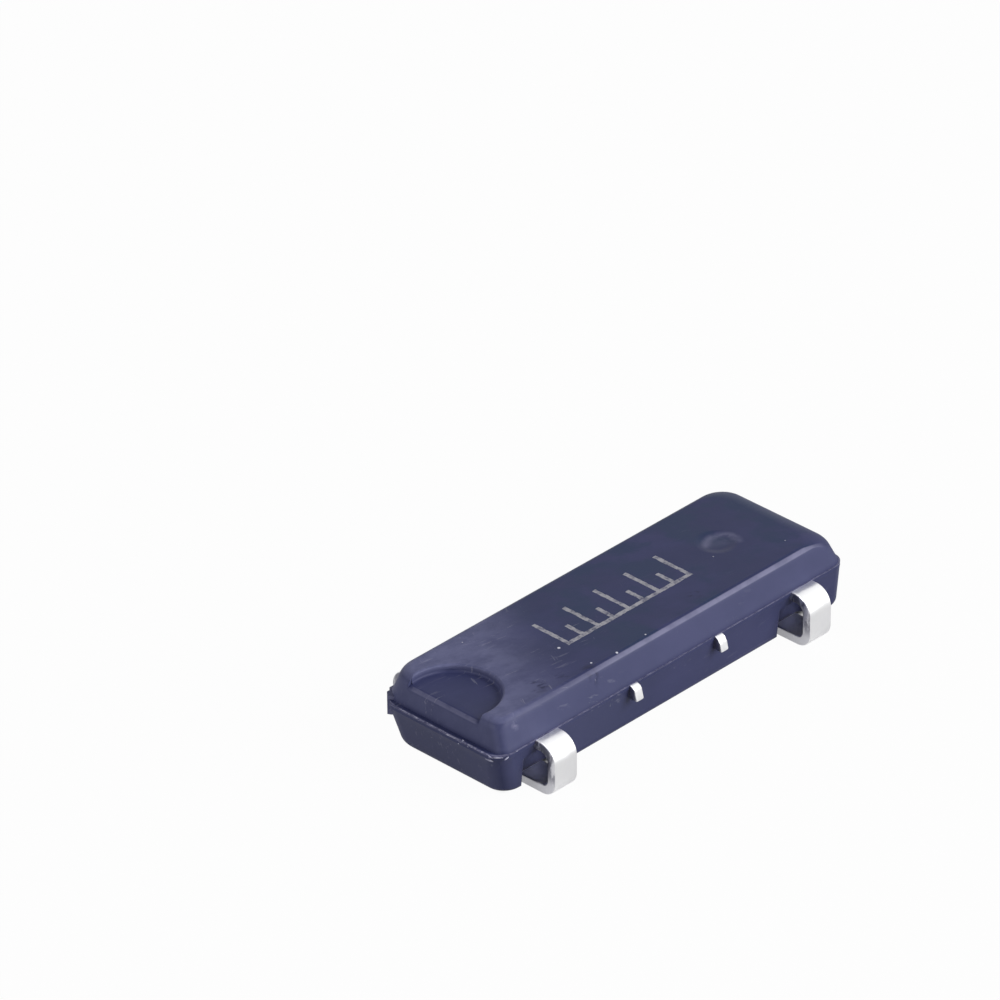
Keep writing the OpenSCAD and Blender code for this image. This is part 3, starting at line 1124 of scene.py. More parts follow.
@dataclass
class MouldedBody:
    """The moulded body: a lower half with a rim, and an upper half with the index recess."""

    upper_height: float = 0.65
    rim_height: float = 0.1
    rim_proud: float = 0.02
    side_step: float = 0.02
    index_step: float = 0.15
    far_proud: float = 0.02
    rim_side: float = 1.74
    rim_corner: float = 0.4
    lip: float = 0.01
    index_x: float = -4.7
    index_radius: float = 1.0
    index_depth: float = 0.17
    dimple_radius: float = 0.475
    dimple_depth: float = 0.035
    top_dimple_x: float = 3.1
    bottom_dimple_x: float = -3.2
    pocket_width: float = 1.14
    pocket_gap: float = 0.08
    pocket_flare: float = 0.09
    pocket_corner: float = 0.16
    roof_drop: float = 0.32
    gate_width: float = 0.3
    index_facet: float = 0.31
    far_facet: float = 0.2
    rear_extra: float = 0.2
    far_sharper: float = 0.06
    index_sharper: float = 0.12
    sill_radius: float = 0.12
    edge_soft: float = 0.05
    gate_height: float = 0.44
    gate_rise: float = 0.08

    def __post_init__(self) -> None:
        """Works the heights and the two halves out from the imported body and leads."""
        low, high = millimetres("package_body")
        self.bottom_z = low.z
        self.top_z = high.z
        self.seam_z = self.top_z - self.upper_height
        self.lead_x = millimetres("anchor_lead_front")[1].x - FoldedLead.head_length / 2
        self.end_x = high.x
        end, side, corner = self.end_x, self.rim_side, self.rim_corner
        starts = (end, end, side, corner, corner - self.far_sharper)
        self.rim = Half(*(Wall(start, 0.0, 0.1, 0.0) for start in starts), self.rim_height, self.rear_extra)
        self.upper = Half(
            index=Wall(end - self.index_step, draft=0.09, drop=0.2, inset=0.22),
            far=Wall(end, draft=0.22, drop=0.32, inset=0.48),
            side=Wall(side - self.side_step, draft=0.24, drop=0.13, inset=0.11),
            index_corner=Wall(corner - self.index_sharper, draft=0.0, drop=0.2, inset=0.06),
            far_corner=Wall(corner, draft=-0.04, drop=0.3, inset=-0.14),
            height=self.upper_height,
            rear_extra=self.rear_extra + 0.05,
        )
        self.lower = Half(
            index=Wall(end - self.rim_proud, draft=0.28, drop=0.16, inset=0.16),
            far=Wall(end + self.far_proud, draft=0.0, drop=0.2, inset=0.2),
            side=Wall(side - self.rim_proud, draft=0.1, drop=0.16, inset=0.16),
            index_corner=Wall(corner, draft=-0.04, drop=0.2, inset=0.1),
            far_corner=Wall(corner - self.far_sharper, draft=0.0, drop=0.2, inset=0.14),
            height=self.seam_z - self.rim_height - self.bottom_z,
            rear_extra=self.rear_extra,
        )

    def shell(self) -> Mesher:
        """Lofts the outer form, from the underside to the top face.

        Returns:
            A mesher that holds the form.
        """
        lip, seam = self.lip, self.seam_z
        rim_low = seam - self.rim_height
        rings = list(reversed(self.lower.rings(rim_low, self.bottom_z)))
        rings += [self.lower.ring(0.0, rim_low - lip), self.lower.ring(0.0, rim_low, lip / 2)]
        rings += [self.rim.ring(0.0, rim_low + lip / 2, -lip / 2), self.rim.ring(0.0, rim_low + lip)]
        rings += [self.rim.ring(0.0, seam - lip), self.rim.ring(0.0, seam - lip / 4, -lip / 4)]
        rings += [self.rim.ring(0.0, seam, -lip), self.upper.ring(0.0, seam, lip / 3)]
        rings += [self.upper.ring(0.0, seam + lip)] + self.upper.rings(seam, self.top_z)
        return Mesher().loft(rings)

    def index_cutter(self) -> bpy.types.Object:
        """Makes the half-round recess's cutter, with its own soft edges.

        Returns:
            The cutter.
        """
        soft, inner = self.edge_soft, 0.06
        radius, top = self.index_radius, self.top_z
        floor = top - self.index_depth
        turns = [math.radians(85) * i / 6 for i in range(7)]
        profile = [(AXIS_GAP, floor), (radius - inner, floor)]
        profile += [
            (radius - inner * (1 - math.sin(t)), floor + inner * (1 - math.cos(t))) for t in turns[1:]
        ]
        profile += [(radius + soft * (1 - math.cos(t)), top - soft * (1 - math.sin(t))) for t in turns]
        profile += [(radius + 2 * soft, top + soft), (AXIS_GAP, top + soft)]
        return revolve(profile, self.index_x).build("index_cutter")

    def sill_cutter(self) -> bpy.types.Object:
        """Makes the cutter that rounds the recess floor's open edge.

        Returns:
            The cutter.
        """
        radius = self.sill_radius
        floor = self.top_z - self.index_depth
        slope = math.atan2(self.upper.index.draft, self.upper_height)
        wall_x = -self.upper.index.at(floor - self.seam_z, self.upper_height)
        centre_x = wall_x + radius * (1 / math.cos(slope) - math.tan(slope))
        centre_z = floor - radius
        section = [(centre_x + 0.001, floor + 0.3), (centre_x, floor)]
        for step in range(1, 9):
            angle = math.pi / 2 + (math.pi / 2 - slope) * step / 8
            section.append((centre_x + radius * math.cos(angle), centre_z + radius * math.sin(angle)))
        section.append((section[-1][0] - 0.4, section[-1][1] - 0.05))
        section.append((section[-1][0], floor + 0.3))
        reach = self.index_radius - 0.006
        rings = [[(x, y, z) for x, z in section] for y in (-reach, reach)]
        return Mesher().loft(rings).build("sill_cutter")

    def dimple_cutter(self, x: float, z: float, face: Face) -> bpy.types.Object:
        """Makes a shallow dish cutter.

        Args:
            x: place along the body.
            z: height of the face.
            face: the face that the dish is in.

        Returns:
            The cutter.
        """
        depth = self.dimple_depth
        radius = self.dimple_radius
        shares = [i / 12 for i in range(1, 13)]
        profile = [(AXIS_GAP, -depth)]
        profile += [(radius * (0.45 + 0.55 * t), -depth * (1 + math.cos(math.pi * t)) / 2) for t in shares]
        profile += [(radius * 1.15, depth * 0.05), (radius * 1.15, depth), (AXIS_GAP, depth)]
        return revolve([(r, z + face.value * h) for r, h in profile], x, 64).build("dimple_cutter")

    def pocket_outline(self, wall_y: float, back_y: float, grow: float) -> list[tuple[float, float]]:
        """Draws one pocket's plan on the front side, about its own middle.

        Args:
            wall_y: distance of the side wall from the middle of the body.
            back_y: distance of the pocket's back wall.
            grow: how far the outline moves outwards.

        Returns:
            Points with Y as the distance from the middle of the body.
        """
        half = self.pocket_width / 2 + grow
        corner = self.pocket_corner
        flare = self.pocket_flare
        right = [(half - corner + corner * math.sin(a), back_y - grow + corner * (1 - math.cos(a)))
                 for a in (math.pi / 2 * i / 6 for i in range(7))]
        right += [(half + flare * (1 - math.cos(a)), wall_y - flare * (1 - math.sin(a)))
                  for a in (math.radians(80) * i / 6 for i in range(7))]
        right += [(half + 2.2 * flare, wall_y + 0.5 * flare), (half + 2.2 * flare, wall_y + 0.5)]
        return right + [(-x, y) for x, y in reversed(right)]

    def pocket_cutter(self, x: float, side: Side) -> bpy.types.Object:
        """Makes the cutter of the pocket round one foot.

        Args:
            x: place of the lead.
            side: long side that the lead is on.

        Returns:
            The cutter.
        """
        soft = self.edge_soft
        roof = self.seam_z - self.roof_drop
        lead_low, _ = millimetres("terminal_lead_front")
        back_y = -lead_low.y - FoldedLead.foot_length - self.pocket_gap
        levels = [(self.bottom_z - 0.2, soft)]
        levels += [(self.bottom_z + soft * (1 - math.cos(a)) - 0.001, soft * (1 - math.sin(a)))
                   for a in (math.radians(90) * i / 5 for i in range(6))]
        levels += [(roof - soft, 0.0)]
        levels += [(roof - soft * (1 - math.sin(a)), -soft * (1 - math.cos(a)))
                   for a in (math.radians(90) * i / 5 for i in range(1, 6))]
        wall_low = self.bottom_z
        wall_high = self.seam_z - self.rim_height
        rings = []
        for z, grow in levels:
            share = min(max((z - wall_low) / (wall_high - wall_low), 0.0), 1.0)
            wall_y = self.lower.side.start - self.lower.side.draft * (1 - share)
            outline = self.pocket_outline(wall_y, back_y, grow)
            rings.append([(x + px, side.value * py, z) for px, py in outline])
        return Mesher().loft(rings).build("pocket_cutter")

    def insert_cutters(self) -> list[bpy.types.Object]:
        """Makes the cutters of the round mould insert's mark under the body.

        Returns:
            The groove's cutter and the bars' cutter.
        """
        outer, groove, core, depth, bars = 1.15, 0.07, 0.55, 0.05, 12
        z = self.bottom_z
        turns = [2 * math.pi * i / 72 for i in range(72)]
        section = [(outer, -0.1), (outer, depth), (outer - groove, depth), (outer - groove, -0.1)]
        rings = [[(r * math.cos(a), r * math.sin(a), z + h) for r, h in section] for a in turns]
        cutters = [Mesher().loft(rings, joined=True).build("groove_cutter")]
        work = Mesher()
        for bar in range(bars):
            angle = 2 * math.pi * bar / bars
            along = Vector((math.cos(angle), math.sin(angle), 0.0))
            across = Vector((-along.y, along.x, 0.0)) * 0.05
            far = core + (outer - core) / 2
            near_end, far_end = along * core, along * far
            square = [near_end - across, far_end - across, far_end + across, near_end + across]
            work.loft([[(p.x, p.y, z + h) for p in square] for h in (-0.1, depth)])
        cutters.append(work.build("bar_cutter"))
        return cutters

    def corner_block(
        self, end: End, width: float, near: float, far: float, low: float, high: float, shrink: float = 0.0
    ) -> bpy.types.Object:
        """Makes an upright block across a rear corner.

        Args:
            end: end of the body that the corner is at.
            width: its width across the corner.
            near: distance of its inner face from the body's sharp corner, inwards.
            far: distance of its outer face, inwards too.
            low: height of its underside.
            high: height of its top.
            shrink: how much smaller its outer face is, with a torn edge.

        Returns:
            The block.
        """
        rng = random.Random(11 + end.value)
        corner = Vector((end.value * self.end_x, self.rim_side, 0.0))
        inwards = Vector((-end.value, -1.0, 0.0)).normalized()
        across = Vector((-inwards.y, inwards.x, 0.0))
        rings = []
        for share in (0.0, 0.7, 1.0):
            half = width / 2 - shrink * max(0.0, share - 0.5)
            place = corner + inwards * (near + (far - near) * share)
            ring = []
            for step in range(13):
                z = low + (high - low) * step / 12 - shrink * max(0.0, share - 0.5) * (step - 6) / 6
                torn = rng.uniform(-0.15, 0.15) * shrink * share
                ring.append(tuple(place + across * (half + torn) + Vector((0, 0, z))))
            for step in range(12, -1, -1):
                ring.append(tuple(place - across * half + Vector((0, 0, low + (high - low) * step / 12))))
            rings.append(ring)
        return Mesher().loft(rings).build("corner_block")

    def facet_depth(self, end: End) -> float:
        """Gives how deep the gate's facet cuts into a rear corner."""
        return self.index_facet if end is End.INDEX else self.far_facet

    def facet_cutter(self, end: End) -> bpy.types.Object:
        """Makes the cutter of the flat facet that the gate left on a rear corner.

        Args:
            end: end of the body that the corner is at.

        Returns:
            The cutter.
        """
        high = self.seam_z + self.gate_rise
        low = high - self.gate_height
        return self.corner_block(end, 1.2, self.facet_depth(end), -0.3, low - 0.1, high + 0.02)

    def gate_mark(self, body: bpy.types.Object, end: End) -> None:
        """Breaks the mould's gate off a rear corner: a flat facet with a thin torn sliver on it.

        Args:
            body: the body, changed in place.
            end: end of the body that the corner is at.
        """
        high = self.seam_z + self.gate_rise
        low = high - self.gate_height
        combine(body, [self.facet_cutter(end)], BooleanKind.CUT)
        sliver = self.corner_block(end, self.gate_width, 0.5, self.facet_depth(end) - 0.05, low, high, 0.08)
        combine(body, [sliver], BooleanKind.ADD)

    def build(self, material: bpy.types.Material) -> bpy.types.Object:
        """Makes the body.

        Args:
            material: its finish.

        Returns:
            The piece.
        """
        body = self.shell().build("moulded_body")
        for end in End:
            self.gate_mark(body, end)
        cutters = [self.index_cutter(), self.sill_cutter()]
        cutters.append(self.dimple_cutter(self.top_dimple_x, self.top_z, Face.TOP))
        cutters.append(self.dimple_cutter(self.bottom_dimple_x, self.bottom_z, Face.UNDERSIDE))
        cutters += [self.pocket_cutter(end.value * self.lead_x, side) for end in End for side in Side]
        cutters += self.insert_cutters()
        combine(body, cutters, BooleanKind.CUT)
        return dress(finish_mesh(body), material, "moulded_resin", "package_body")


@dataclass
class PartingFlash:
    """Thin ragged flash that stands out along the parting line."""

    body: MouldedBody
    reach: float = 0.02
    thickness: float = 0.014
    root: float = 0.05
    spacing: float = 0.03

    def stations(self) -> list[tuple[Vector, Vector]]:
        """Walks round the rim at an even spacing.

        Returns:
            Each station's place and outward direction.
        """
        ring = [Vector(p) for p in self.body.rim.ring(0.0, self.body.seam_z, 0.0, 24)]
        found = []
        for here, there in zip(ring, ring[1:] + ring[:1]):
            run = there - here
            count = max(1, round(run.length / self.spacing))
            out = Vector((run.y, -run.x, 0.0)).normalized() if run.length > 1e-6 else Vector((1, 0, 0))
            for i in range(count):
                found.append((here + run * (i / count), out))
        return found

    def build(self, material: bpy.types.Material) -> bpy.types.Object:
        """Makes the flash.

        Args:
            material: its finish.

        Returns:
            The piece.
        """
        rings = []
        for place, out in self.stations():
            lump = noise.noise(place * 1.7) + 0.5 * noise.noise(place * 7.0)
            lump += 0.3 * noise.noise(place * 19.0)
            share = min(max((2.6 - place.x) / 3.0, 0.0), 1.0)
            width = self.reach * max(0.1, (0.2 + 0.4 * share) + lump * share)
            lift = 0.003 * noise.noise(place * 5.0)
            section = [(-self.root, 0.004), (width, 0.003)]
            section += [(width * 0.8, -self.thickness), (-self.root, -0.02)]
            rings.append([tuple(place + out * u + Vector((0, 0, w + lift))) for u, w in section])
        flash = Mesher().loft(rings, joined=True).build("parting_flash")
        combine(flash, [self.body.facet_cutter(end) for end in End], BooleanKind.CUT)
        return dress(finish_mesh(flash, 50.0), material, "moulded_resin")


@dataclass(frozen=True)
class Flake:
    """One thin flake of broken resin: its middle, its half-sizes, its turn about Z and its tilt."""

    middle: Point
    half: Point
    turn_deg: float = 0.0
    tilt_deg: float = 0.0

    def rings(self, rng: random.Random) -> list[Ring]:
        """Draws the flake with an irregular outline.

        Args:
            rng: source of the irregularity.

        Returns:
            The rings, from its underside to its top.
        """
        turn = Matrix.Rotation(math.radians(self.turn_deg), 3, "Z")
        turn = turn @ Matrix.Rotation(math.radians(self.tilt_deg), 3, "Y")
        shares = [rng.uniform(0.6, 1.1) for _ in range(11)]
        rings = []
        for level, size in ((-1.0, 0.5), (-0.3, 1.0), (0.4, 0.96), (1.0, 0.5)):
            ring = []
            for i, share in enumerate(shares):
                angle = 2 * math.pi * i / len(shares)
                flat = Vector((math.cos(angle) * share * size, math.sin(angle) * share * size, level))
                place = Vector(self.middle) + turn @ Vector([a * b for a, b in zip(flat, self.half)])
                ring.append(tuple(place))
            rings.append(ring)
        return rings


@dataclass
class TornFlash:
    """Pale torn flash and flakes along the ledge at the index end, to its front corner.

    Each of the runs has its rear end, its front end, its width and the seed of its irregularity.
    """

    body: MouldedBody
    thickness: float = 0.016
    spacing: float = 0.02
    runs: tuple[tuple[float, float, float, float], ...] = (
        (1.12, 0.85, 0.03, 1.3), (0.85, 0.3, 0.022, 4.1), (0.2, -0.62, 0.03, 7.7), (-0.7, -1.42, 0.05, 9.2),
    )

    def ribbon(self, rear_y: float, front_y: float, width: float, seed: float) -> list[Ring]:
        """Draws one run of torn flash on the rim's top edge.

        Args:
            rear_y: where the run starts.
            front_y: where it ends, nearer the front.
            width: how wide it gets.
            seed: moves its irregularity.

        Returns:
            The rings along the run.
        """
        count = max(4, round((rear_y - front_y) / self.spacing))
        rings = []
        for i in range(count + 1):
            share = i / count
            y = rear_y + (front_y - rear_y) * share
            lump = noise.noise(Vector((seed, y * 5.0, 0.0)))
            lump += 0.7 * noise.noise(Vector((seed, y * 17.0, 3.0)))
            size = width * math.sin(math.pi * (0.04 + 0.92 * share)) * max(0.25, 0.75 + lump)
            edge_x = 0.012 - self.body.end_x
            seam = self.body.seam_z
            edge_z = seam + 0.35 * size - 0.004
            rings.append([
                (edge_x + 0.6 * size, y, seam - 0.008), (edge_x - 0.5 * size, y, edge_z - self.thickness),
                (edge_x - 0.6 * size, y, edge_z), (edge_x + 0.6 * size, y, seam + 0.008),
            ])
        return rings

    def flakes(self) -> list[Flake]:
        """Lists the flakes that the part shows, and scatters some crumbs.

        Returns:
            The flakes and the crumbs.
        """
        z = self.body.seam_z
        end = -self.body.end_x
        side = -self.body.rim_side
        flakes = [
            Flake((end + 0.03, 0.27, z - 0.02), (0.03, 0.035, 0.03), 10),
            Flake((end, -0.42, z), (0.03, 0.14, 0.014), 3, 25),
            Flake((end + 0.02, side + 0.32, z - 0.01), (0.03, 0.17, 0.015), -8, 20),
            Flake((end + 0.1, side + 0.14, z - 0.03), (0.035, 0.13, 0.014), 42, 25),
            Flake((end + 0.04, side + 0.3, z - 0.13), (0.016, 0.1, 0.02), 8),
            Flake((end + 0.22, side - 0.005, z - 0.04), (0.11, 0.02, 0.014), 8),
            Flake((end + 0.5, side, z - 0.01), (0.1, 0.014, 0.01), 4),
        ]
        rng = random.Random(5)
        for _ in range(22):
            y = rng.choice((rng.uniform(-1.5, -0.6), rng.uniform(-1.4, 1.1)))
            size = rng.uniform(0.006, 0.016)
            middle = (end + rng.uniform(0.0, 0.07), y, z + rng.uniform(-0.1, 0.01))
            flakes.append(Flake(middle, (size, size * rng.uniform(1, 3), size), rng.uniform(-20, 20)))
        return flakes

    def build(self, material: bpy.types.Material) -> bpy.types.Object:
        """Makes the torn flash and the flakes as one piece.

        Args:
            material: their finish.

        Returns:
            The piece.
        """
        rng = random.Random(21)
        work = Mesher()
        for run in self.runs:
            work.loft(self.ribbon(*run))
        for flake in self.flakes():
            work.loft(flake.rings(rng))
        return dress(finish_mesh(work.build("torn_flash"), 60.0), material, "moulded_resin")


@dataclass
class StripSection:
    """Cross-section of the lead-frame strip, with edges rounded by the press tool."""

    width: float
    thickness: float
    edge: float = 0.035
    steps: int = 4

    def ring(self, place: Vector, across: Vector, up: Vector, shrink: float = 0.0) -> Ring:
        """Draws the section.

        Args:
            place: middle of the strip.
            across: unit vector over the strip's width.
            up: unit vector through its thickness.
            shrink: how far the outline moves inwards.

        Returns:
            The points in order.
        """
        half_w = self.width / 2 - shrink
        half_t = self.thickness / 2 - shrink
        edge = min(self.edge, half_t * 0.9)
        points = []
        for quarter, (sx, sz) in enumerate([(1, 1), (-1, 1), (-1, -1), (1, -1)]):
            for step in range(self.steps + 1):
                angle = math.pi / 2 * (quarter + step / self.steps)
                u = sx * (half_w - edge) + edge * math.cos(angle)
                w = sz * (half_t - edge) + edge * math.sin(angle)
                points.append(tuple(place + across * u + up * w))
        return points


def inner_slab(along: Span, away: Span, heights: Span, side: Side) -> bpy.types.Object:
    """Makes the flat part of a strip inside the resin, a hair thinner than the strip.

    Args:
        along: its range along X.
        away: its range of distances from the body's middle.
        heights: the strip's underside and top.
        side: long side that the strip is on.

    Returns:
        The slab.
    """
    outline = [(along[0], away[0]), (along[1], away[0]), (along[1], away[1]), (along[0], away[1])]
    levels = (heights[0] + SLAB_GAP, heights[1] - SLAB_GAP)
    rings = [[(x, side.value * y, z) for x, y in outline] for z in levels]
    return Mesher().loft(rings).build("inner_slab")


@dataclass
class FoldedLead:
    """One folded lead with its inner part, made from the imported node's own box."""

    node: str
    end: End
    side: Side
    body: MouldedBody
    width: float = 0.66
    thickness: float = 0.22
    shoulder: float = 0.42
    foot: float = 0.35
    foot_length: float = 1.0
    pad_gap: float = 0.2
    pad_width: float = 0.75
    pad_length: float = 1.5
    head_width: float = 0.32
    head_length: float = 1.3
    anchor_y: float = 0.72
    bend_steps: int = 12

    def path(self, inner: float) -> list[tuple[Vector, Vector]]:
        """Follows the strip's middle from inside the body to the foot's tip.

        Args:
            inner: distance from the body's middle where the path starts.

        Returns:
            Each station's place and the direction through the strip, away from the body.
        """
        low, high = millimetres(self.node)
        out_y = high.y if self.side is Side.REAR else -low.y
        half = self.thickness / 2
        seam = self.body.seam_z
        flat = [(inner, seam - half, 0.0, 1.0), (out_y - self.shoulder, seam - half, 0.0, 1.0)]
        for step in range(1, self.bend_steps + 1):
            a = math.pi / 2 * (1 - step / self.bend_steps)
            r = self.shoulder - half
            flat.append((out_y - self.shoulder + r * math.cos(a), seam - self.shoulder + r * math.sin(a),
                         math.cos(a), math.sin(a)))
        for step in range(self.bend_steps + 1):
            a = -math.pi / 2 * step / self.bend_steps
            r = self.foot - half
            flat.append((out_y - self.foot + r * math.cos(a), self.foot + r * math.sin(a),
                         math.cos(a), math.sin(a)))
        flat.append((out_y - self.foot_length, half, 0.0, -1.0))
        x = self.end.value * self.body.lead_x
        sign = self.side.value
        return [(Vector((x, sign * u, z)), Vector((0.0, sign * nu, nz))) for u, z, nu, nz in flat]

    def inner_block(self) -> tuple[float, float, float, float]:
        """Gives the pad's or head's range along X and its distance range from the middle.

        Returns:
            Lowest and highest X, then the least and the greatest distance.
        """
        x = self.end.value * self.body.lead_x
        if self.end is End.INDEX:
            x0 = x - self.width / 2
            return x0, x0 + self.pad_length, self.pad_gap / 2, self.pad_gap / 2 + self.pad_width
        half = self.head_length / 2
        return x - half, x + half, self.anchor_y, self.anchor_y + self.head_width

    def build(self, material: bpy.types.Material) -> bpy.types.Object:
        """Makes the lead.

        Args:
            material: its finish.

        Returns:
            The piece.
        """
        x0, x1, y0, y1 = self.inner_block()
        section = StripSection(self.width, self.thickness)
        across = Vector((1.0, 0.0, 0.0))
        stations = self.path((y0 + y1) / 2)
        rings = [section.ring(place, across, up) for place, up in stations]
        tip, tip_up = stations[-1]
        before = stations[-2][0]
        along = (tip - before).normalized()
        soft = 0.03
        rings[-1] = section.ring(tip - along * soft, across, tip_up)
        rings.append(section.ring(tip - along * soft * 0.3, across, tip_up, soft * 0.3))
        rings.append(section.ring(tip, across, tip_up, soft))
        lead = Mesher().loft(rings).build(self.node + "_strip")
        seam_z = self.body.seam_z
        pad = inner_slab((x0, x1), (y0, y1), (seam_z - self.thickness, seam_z), self.side)
        combine(lead, [pad], BooleanKind.ADD)
        return dress(finish_mesh(lead, 40.0), material, "tinned_strip", self.node)


@dataclass
class SupportBar:
    """One bar of the lead frame, sheared off outside the rim, where the tool rolled its top edge over."""

    node: str
    end: End
    side: Side
    body: MouldedBody
    width: float = 0.22
    height: float = 0.33
    head_width: float = 0.32
    index_roll_deg: float = 46.0
    far_roll_deg: float = 76.0
    roll_length: float = 0.12
    roll_back: float = 0.08
    lean_deg: float = 14.0
    edge: float = 0.03
    overlap: float = 0.1

    def stations(self, root: float, tip: float, z: float) -> list[tuple[float, float]]:
        """Follows the bar's top from inside the body to its sheared end.

        Args:
            root: distance from the body's middle where the bar starts.
            tip: distance where the rolled edge ends.
            z: height of the bar's top.

        Returns:
            Each station's distance and height.
        """
        turn = math.radians(self.index_roll_deg if self.end is End.INDEX else self.far_roll_deg)
        radius = self.roll_length / math.sin(turn)
        angles = [turn * step / 8 for step in range(9)]
        start = tip - self.roll_length
        rolled = [(start + radius * math.sin(a), z - radius * (1 - math.cos(a))) for a in angles]
        return [(root, z)] + rolled

    def build(self, material: bpy.types.Material) -> bpy.types.Object:
        """Makes the bar.

        Args:
            material: its finish.

        Returns:
            The piece.
        """
        low, high = millimetres(self.node)
        x = (low.x + high.x) / 2
        inner, outer = sorted((abs(low.y), abs(high.y)))
        sign = self.side.value
        across = Vector((1.0, 0.0, 0.0))
        upright = Vector((0.0, 0.0, 1.0))
        base = high.z - self.height
        rings = []
        for u, top in self.stations(inner + self.overlap, outer - self.roll_back, high.z):
            section = StripSection(self.width, top - base, self.edge)
            rings.append(section.ring(Vector((x, sign * u, (top + base) / 2)), across, upright))
        lean = math.radians(self.lean_deg)
        leaning = Vector((0.0, -sign * math.sin(lean), math.cos(lean)))
        for back, shrink in ((0.05, 0.0), (0.035, 0.008), (0.03, 0.04)):
            place = Vector((x, sign * (outer - back), (top + base) / 2))
            rings.append(section.ring(place, across, leaning, shrink))
        bar = Mesher().loft(rings).build(self.node + "_strip")
        head = inner_slab((low.x, high.x), (inner, inner + self.head_width), (low.z, high.z), self.side)
        combine(bar, [head], BooleanKind.ADD)
        return dress(finish_mesh(bar, 40.0), material, "cut_strip", self.node)


@dataclass
class CrystalUnit:
    """The sealed crystal inside the resin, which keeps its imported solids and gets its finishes."""

    finishes: dict[str, bpy.types.Material]

    def build(self) -> None:
        """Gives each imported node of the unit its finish."""
        for node, finish in {
            "crystal_can": "nickel", "header_ring": "nickel", "glass_seal": "seal", "quartz_fork": "quartz",
            "crystal_wire_front": "wire", "crystal_wire_rear": "wire",
            "fork_bond_front": "solder", "fork_bond_rear": "solder",
        }.items():
            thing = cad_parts[node]
            thing.data.materials.clear()
            thing.data.materials.append(self.finishes[finish])
            LOG.info("%s: finish %s", node, finish)


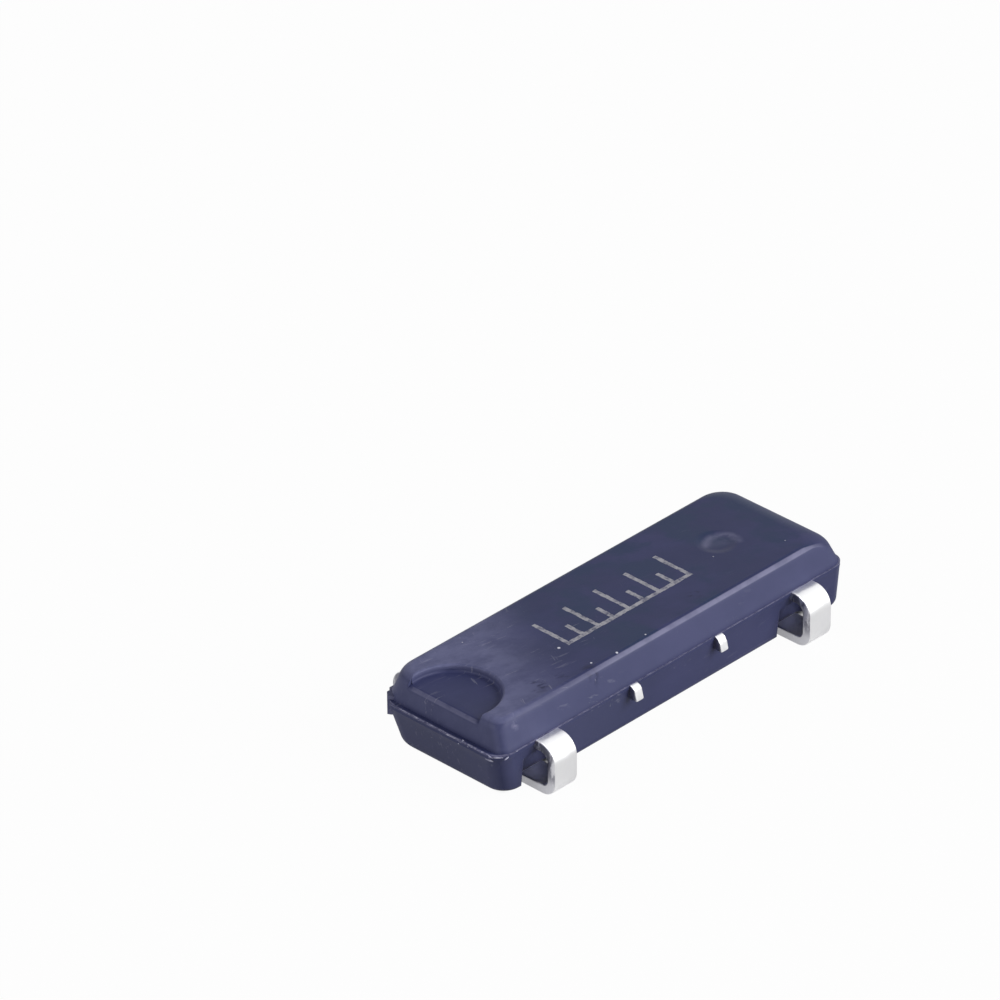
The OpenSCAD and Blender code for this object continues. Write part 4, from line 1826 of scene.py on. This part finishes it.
@dataclass
class Studio:
    """Plain pale floor, soft lamps and the camera at the photograph's angle."""

    azimuth_deg: float = -46.8
    elevation_deg: float = 32.5
    lens_mm: float = 300.0
    sensor_mm: float = 36.0
    px_per_mm: float = 48.9
    frame_px: float = 1000.0
    aim_mm: Point = (0.0, 0.0, 0.95)
    aim_px: tuple[float, float] = (613.5, 637.5)
    glossy_world: float = 1.0
    diffuse_world: float = 0.21
    floor_white: float = 0.97
    floor_gloss: float = 0.44
    floor_m: float = 3.0
    footprint_mm: tuple[float, float] = (4.75, 1.4)
    footprint_fade_mm: float = 0.3
    lamp_distance_m: float = 0.3

    def direction(self, azimuth_deg: float, elevation_deg: float) -> Vector:
        """Gives the unit vector from the part towards an azimuth and elevation."""
        a, e = math.radians(azimuth_deg), math.radians(elevation_deg)
        return Vector((math.sin(a) * math.cos(e), -math.cos(a) * math.cos(e), math.sin(e)))

    def camera(self) -> bpy.types.Object:
        """Makes the camera, aimed at the part, which the photograph's framing keeps off its middle.

        Returns:
            The camera.
        """
        back = self.direction(self.azimuth_deg, self.elevation_deg)
        distance = self.frame_px / self.px_per_mm * self.lens_mm / self.sensor_mm
        data = bpy.data.cameras.new("photo_camera")
        data.lens = self.lens_mm
        data.sensor_width = self.sensor_mm
        data.clip_start = 0.01
        data.clip_end = 5.0
        data.shift_x = 0.5 - self.aim_px[0] / self.frame_px
        data.shift_y = self.aim_px[1] / self.frame_px - 0.5
        made = bpy.data.objects.new("photo_camera", data)
        bpy.context.scene.collection.objects.link(made)
        made.location = (Vector(self.aim_mm) + back * distance) * MM
        made.rotation_euler = back.to_track_quat("Z", "Y").to_euler()
        bpy.context.scene.camera = made
        return made

    def lamp(self, name: str, azimuth: float, elevation: float, watts: float, size: float) -> None:
        """Adds one soft lamp.

        Args:
            name: name of the lamp.
            azimuth: where it stands, as a camera's azimuth.
            elevation: how high it stands, in degrees.
            watts: its power.
            size: width of its face in metres.
        """
        back = self.direction(azimuth, elevation)
        data = bpy.data.lights.new(name, "AREA")
        data.energy = watts
        data.size = size
        made = bpy.data.objects.new(name, data)
        bpy.context.scene.collection.objects.link(made)
        made.location = back * self.lamp_distance_m
        made.rotation_euler = back.to_track_quat("Z", "Y").to_euler()

    def floor(self) -> None:
        """Makes the pale floor, which shows white but keeps the shadow."""
        half = self.floor_m / 2
        mesh = bpy.data.meshes.new("floor")
        corners = [(-half, -half, 0), (half, -half, 0), (half, half, 0), (-half, half, 0)]
        mesh.from_pydata(corners, [], [(0, 1, 2, 3)])
        made = bpy.data.objects.new("floor", mesh)
        bpy.context.scene.collection.objects.link(made)
        material, graph = new_material("pale_floor")
        diffuse = graph.signal("ShaderNodeBsdfDiffuse", inputs={"Color": (0.5, 0.5, 0.5, 1.0)})
        white = graph.signal("ShaderNodeEmission", inputs={"Color": (1, 1, 1, 1), "Strength": 1.0})
        path = graph.node("ShaderNodeLightPath").outputs
        x, y, _ = graph.axes(graph.place())
        half_x, half_y = self.footprint_mm
        fade = self.footprint_fade_mm
        under = graph.window(abs(x), (half_x, half_x - fade)) * graph.window(abs(y), (half_y, half_y - fade))
        seen = self.floor_white * Signal(graph, path["Is Camera Ray"]) * (1.0 - under)
        seen = seen.larger(self.floor_gloss * Signal(graph, path["Is Glossy Ray"]))
        mixed = graph.signal("ShaderNodeMixShader", inputs={0: seen, 1: diffuse, 2: white})
        graph.node("ShaderNodeOutputMaterial", inputs={"Surface": mixed})
        mesh.materials.append(material)

    def world(self) -> None:
        """Makes the surroundings: soft grey light, seen as white."""
        world = bpy.data.worlds.new("studio")
        world.use_nodes = True
        bpy.context.scene.world = world
        graph = Graph(world.node_tree)
        path = graph.node("ShaderNodeLightPath").outputs
        clear = Signal(graph, path["Is Camera Ray"]).larger(Signal(graph, path["Is Transmission Ray"]))
        strength = (self.glossy_world * Signal(graph, path["Is Glossy Ray"])).larger(self.diffuse_world)
        strength = strength.larger(clear)
        back = graph.signal("ShaderNodeBackground", inputs={"Color": (1, 1, 1, 1), "Strength": strength})
        graph.node("ShaderNodeOutputWorld", inputs={"Surface": back})

    def build(self) -> None:
        """Sets the whole studio up."""
        self.camera()
        self.floor()
        self.world()
        self.lamp("side_box", 26.0, 30.0, 1.0, 0.22)
        self.lamp("end_fill", -95.0, 34.0, 0.42, 0.25)
        bpy.context.scene.view_settings.view_transform = "Standard"


def main() -> None:
    """Builds every piece and the studio."""
    logging.basicConfig(level=logging.INFO, format="%(name)s: %(message)s")
    Studio().build()
    # The bars' cut faces get a greyer tone for their painted glints and painted floor reflection, with the
    # reflection kept nearer the bottom.
    sheared = TinnedStrip("bright_tin", glint_and_reflection=(0.42, 0.42, 0.47, 1.0), reflection_height_mm=0.1).material()
    tin = TinnedStrip("tinned_strip").material()
    body = MouldedBody()
    marks = Landmarks(body.top_z, body.seam_z, body.top_dimple_x, body.index_x)
    resin = MouldedResin(marks).material()
    thin = BrokenResin("thin_resin", pale=(0.13, 0.13, 0.22, 1.0), dark=(0.05, 0.052, 0.12, 1.0)).material()
    broken = BrokenResin("broken_resin", pale=(0.42, 0.42, 0.54, 1.0), dark=(0.1, 0.1, 0.19, 1.0)).material()
    body.build(resin)
    PartingFlash(body).build(thin)
    TornFlash(body).build(broken)
    for side in Side:
        word = side.name.lower()
        FoldedLead(f"terminal_lead_{word}", End.INDEX, side, body).build(tin)
        FoldedLead(f"anchor_lead_{word}", End.FAR, side, body).build(tin)
        SupportBar(f"support_bar_index_{word}", End.INDEX, side, body).build(sheared)
        SupportBar(f"support_bar_far_{word}", End.FAR, side, body).build(sheared)
    CrystalUnit({
        "nickel": PlatedMetal("nickel_plate", (0.76, 0.73, 0.68, 1), (0.6, 0.57, 0.52, 1), 0.26).material(),
        "wire": PlatedMetal("plated_wire", (0.8, 0.77, 0.7, 1), (0.6, 0.58, 0.55, 1), 0.3).material(),
        "solder": PlatedMetal("soft_solder", (0.6, 0.6, 0.62, 1), (0.4, 0.4, 0.42, 1), 0.45).material(),
        "seal": ClearSolid("sealing_glass", (0.1, 0.22, 0.2, 1), (0.2, 0.34, 0.3, 1), 0.15, 0.4).material(),
        "quartz": ClearSolid("quartz", (0.92, 0.95, 0.97, 1), (0.8, 0.84, 0.88, 1), 0.04, 0.9).material(),
    }).build()


if __name__ == "__main__":
    main()
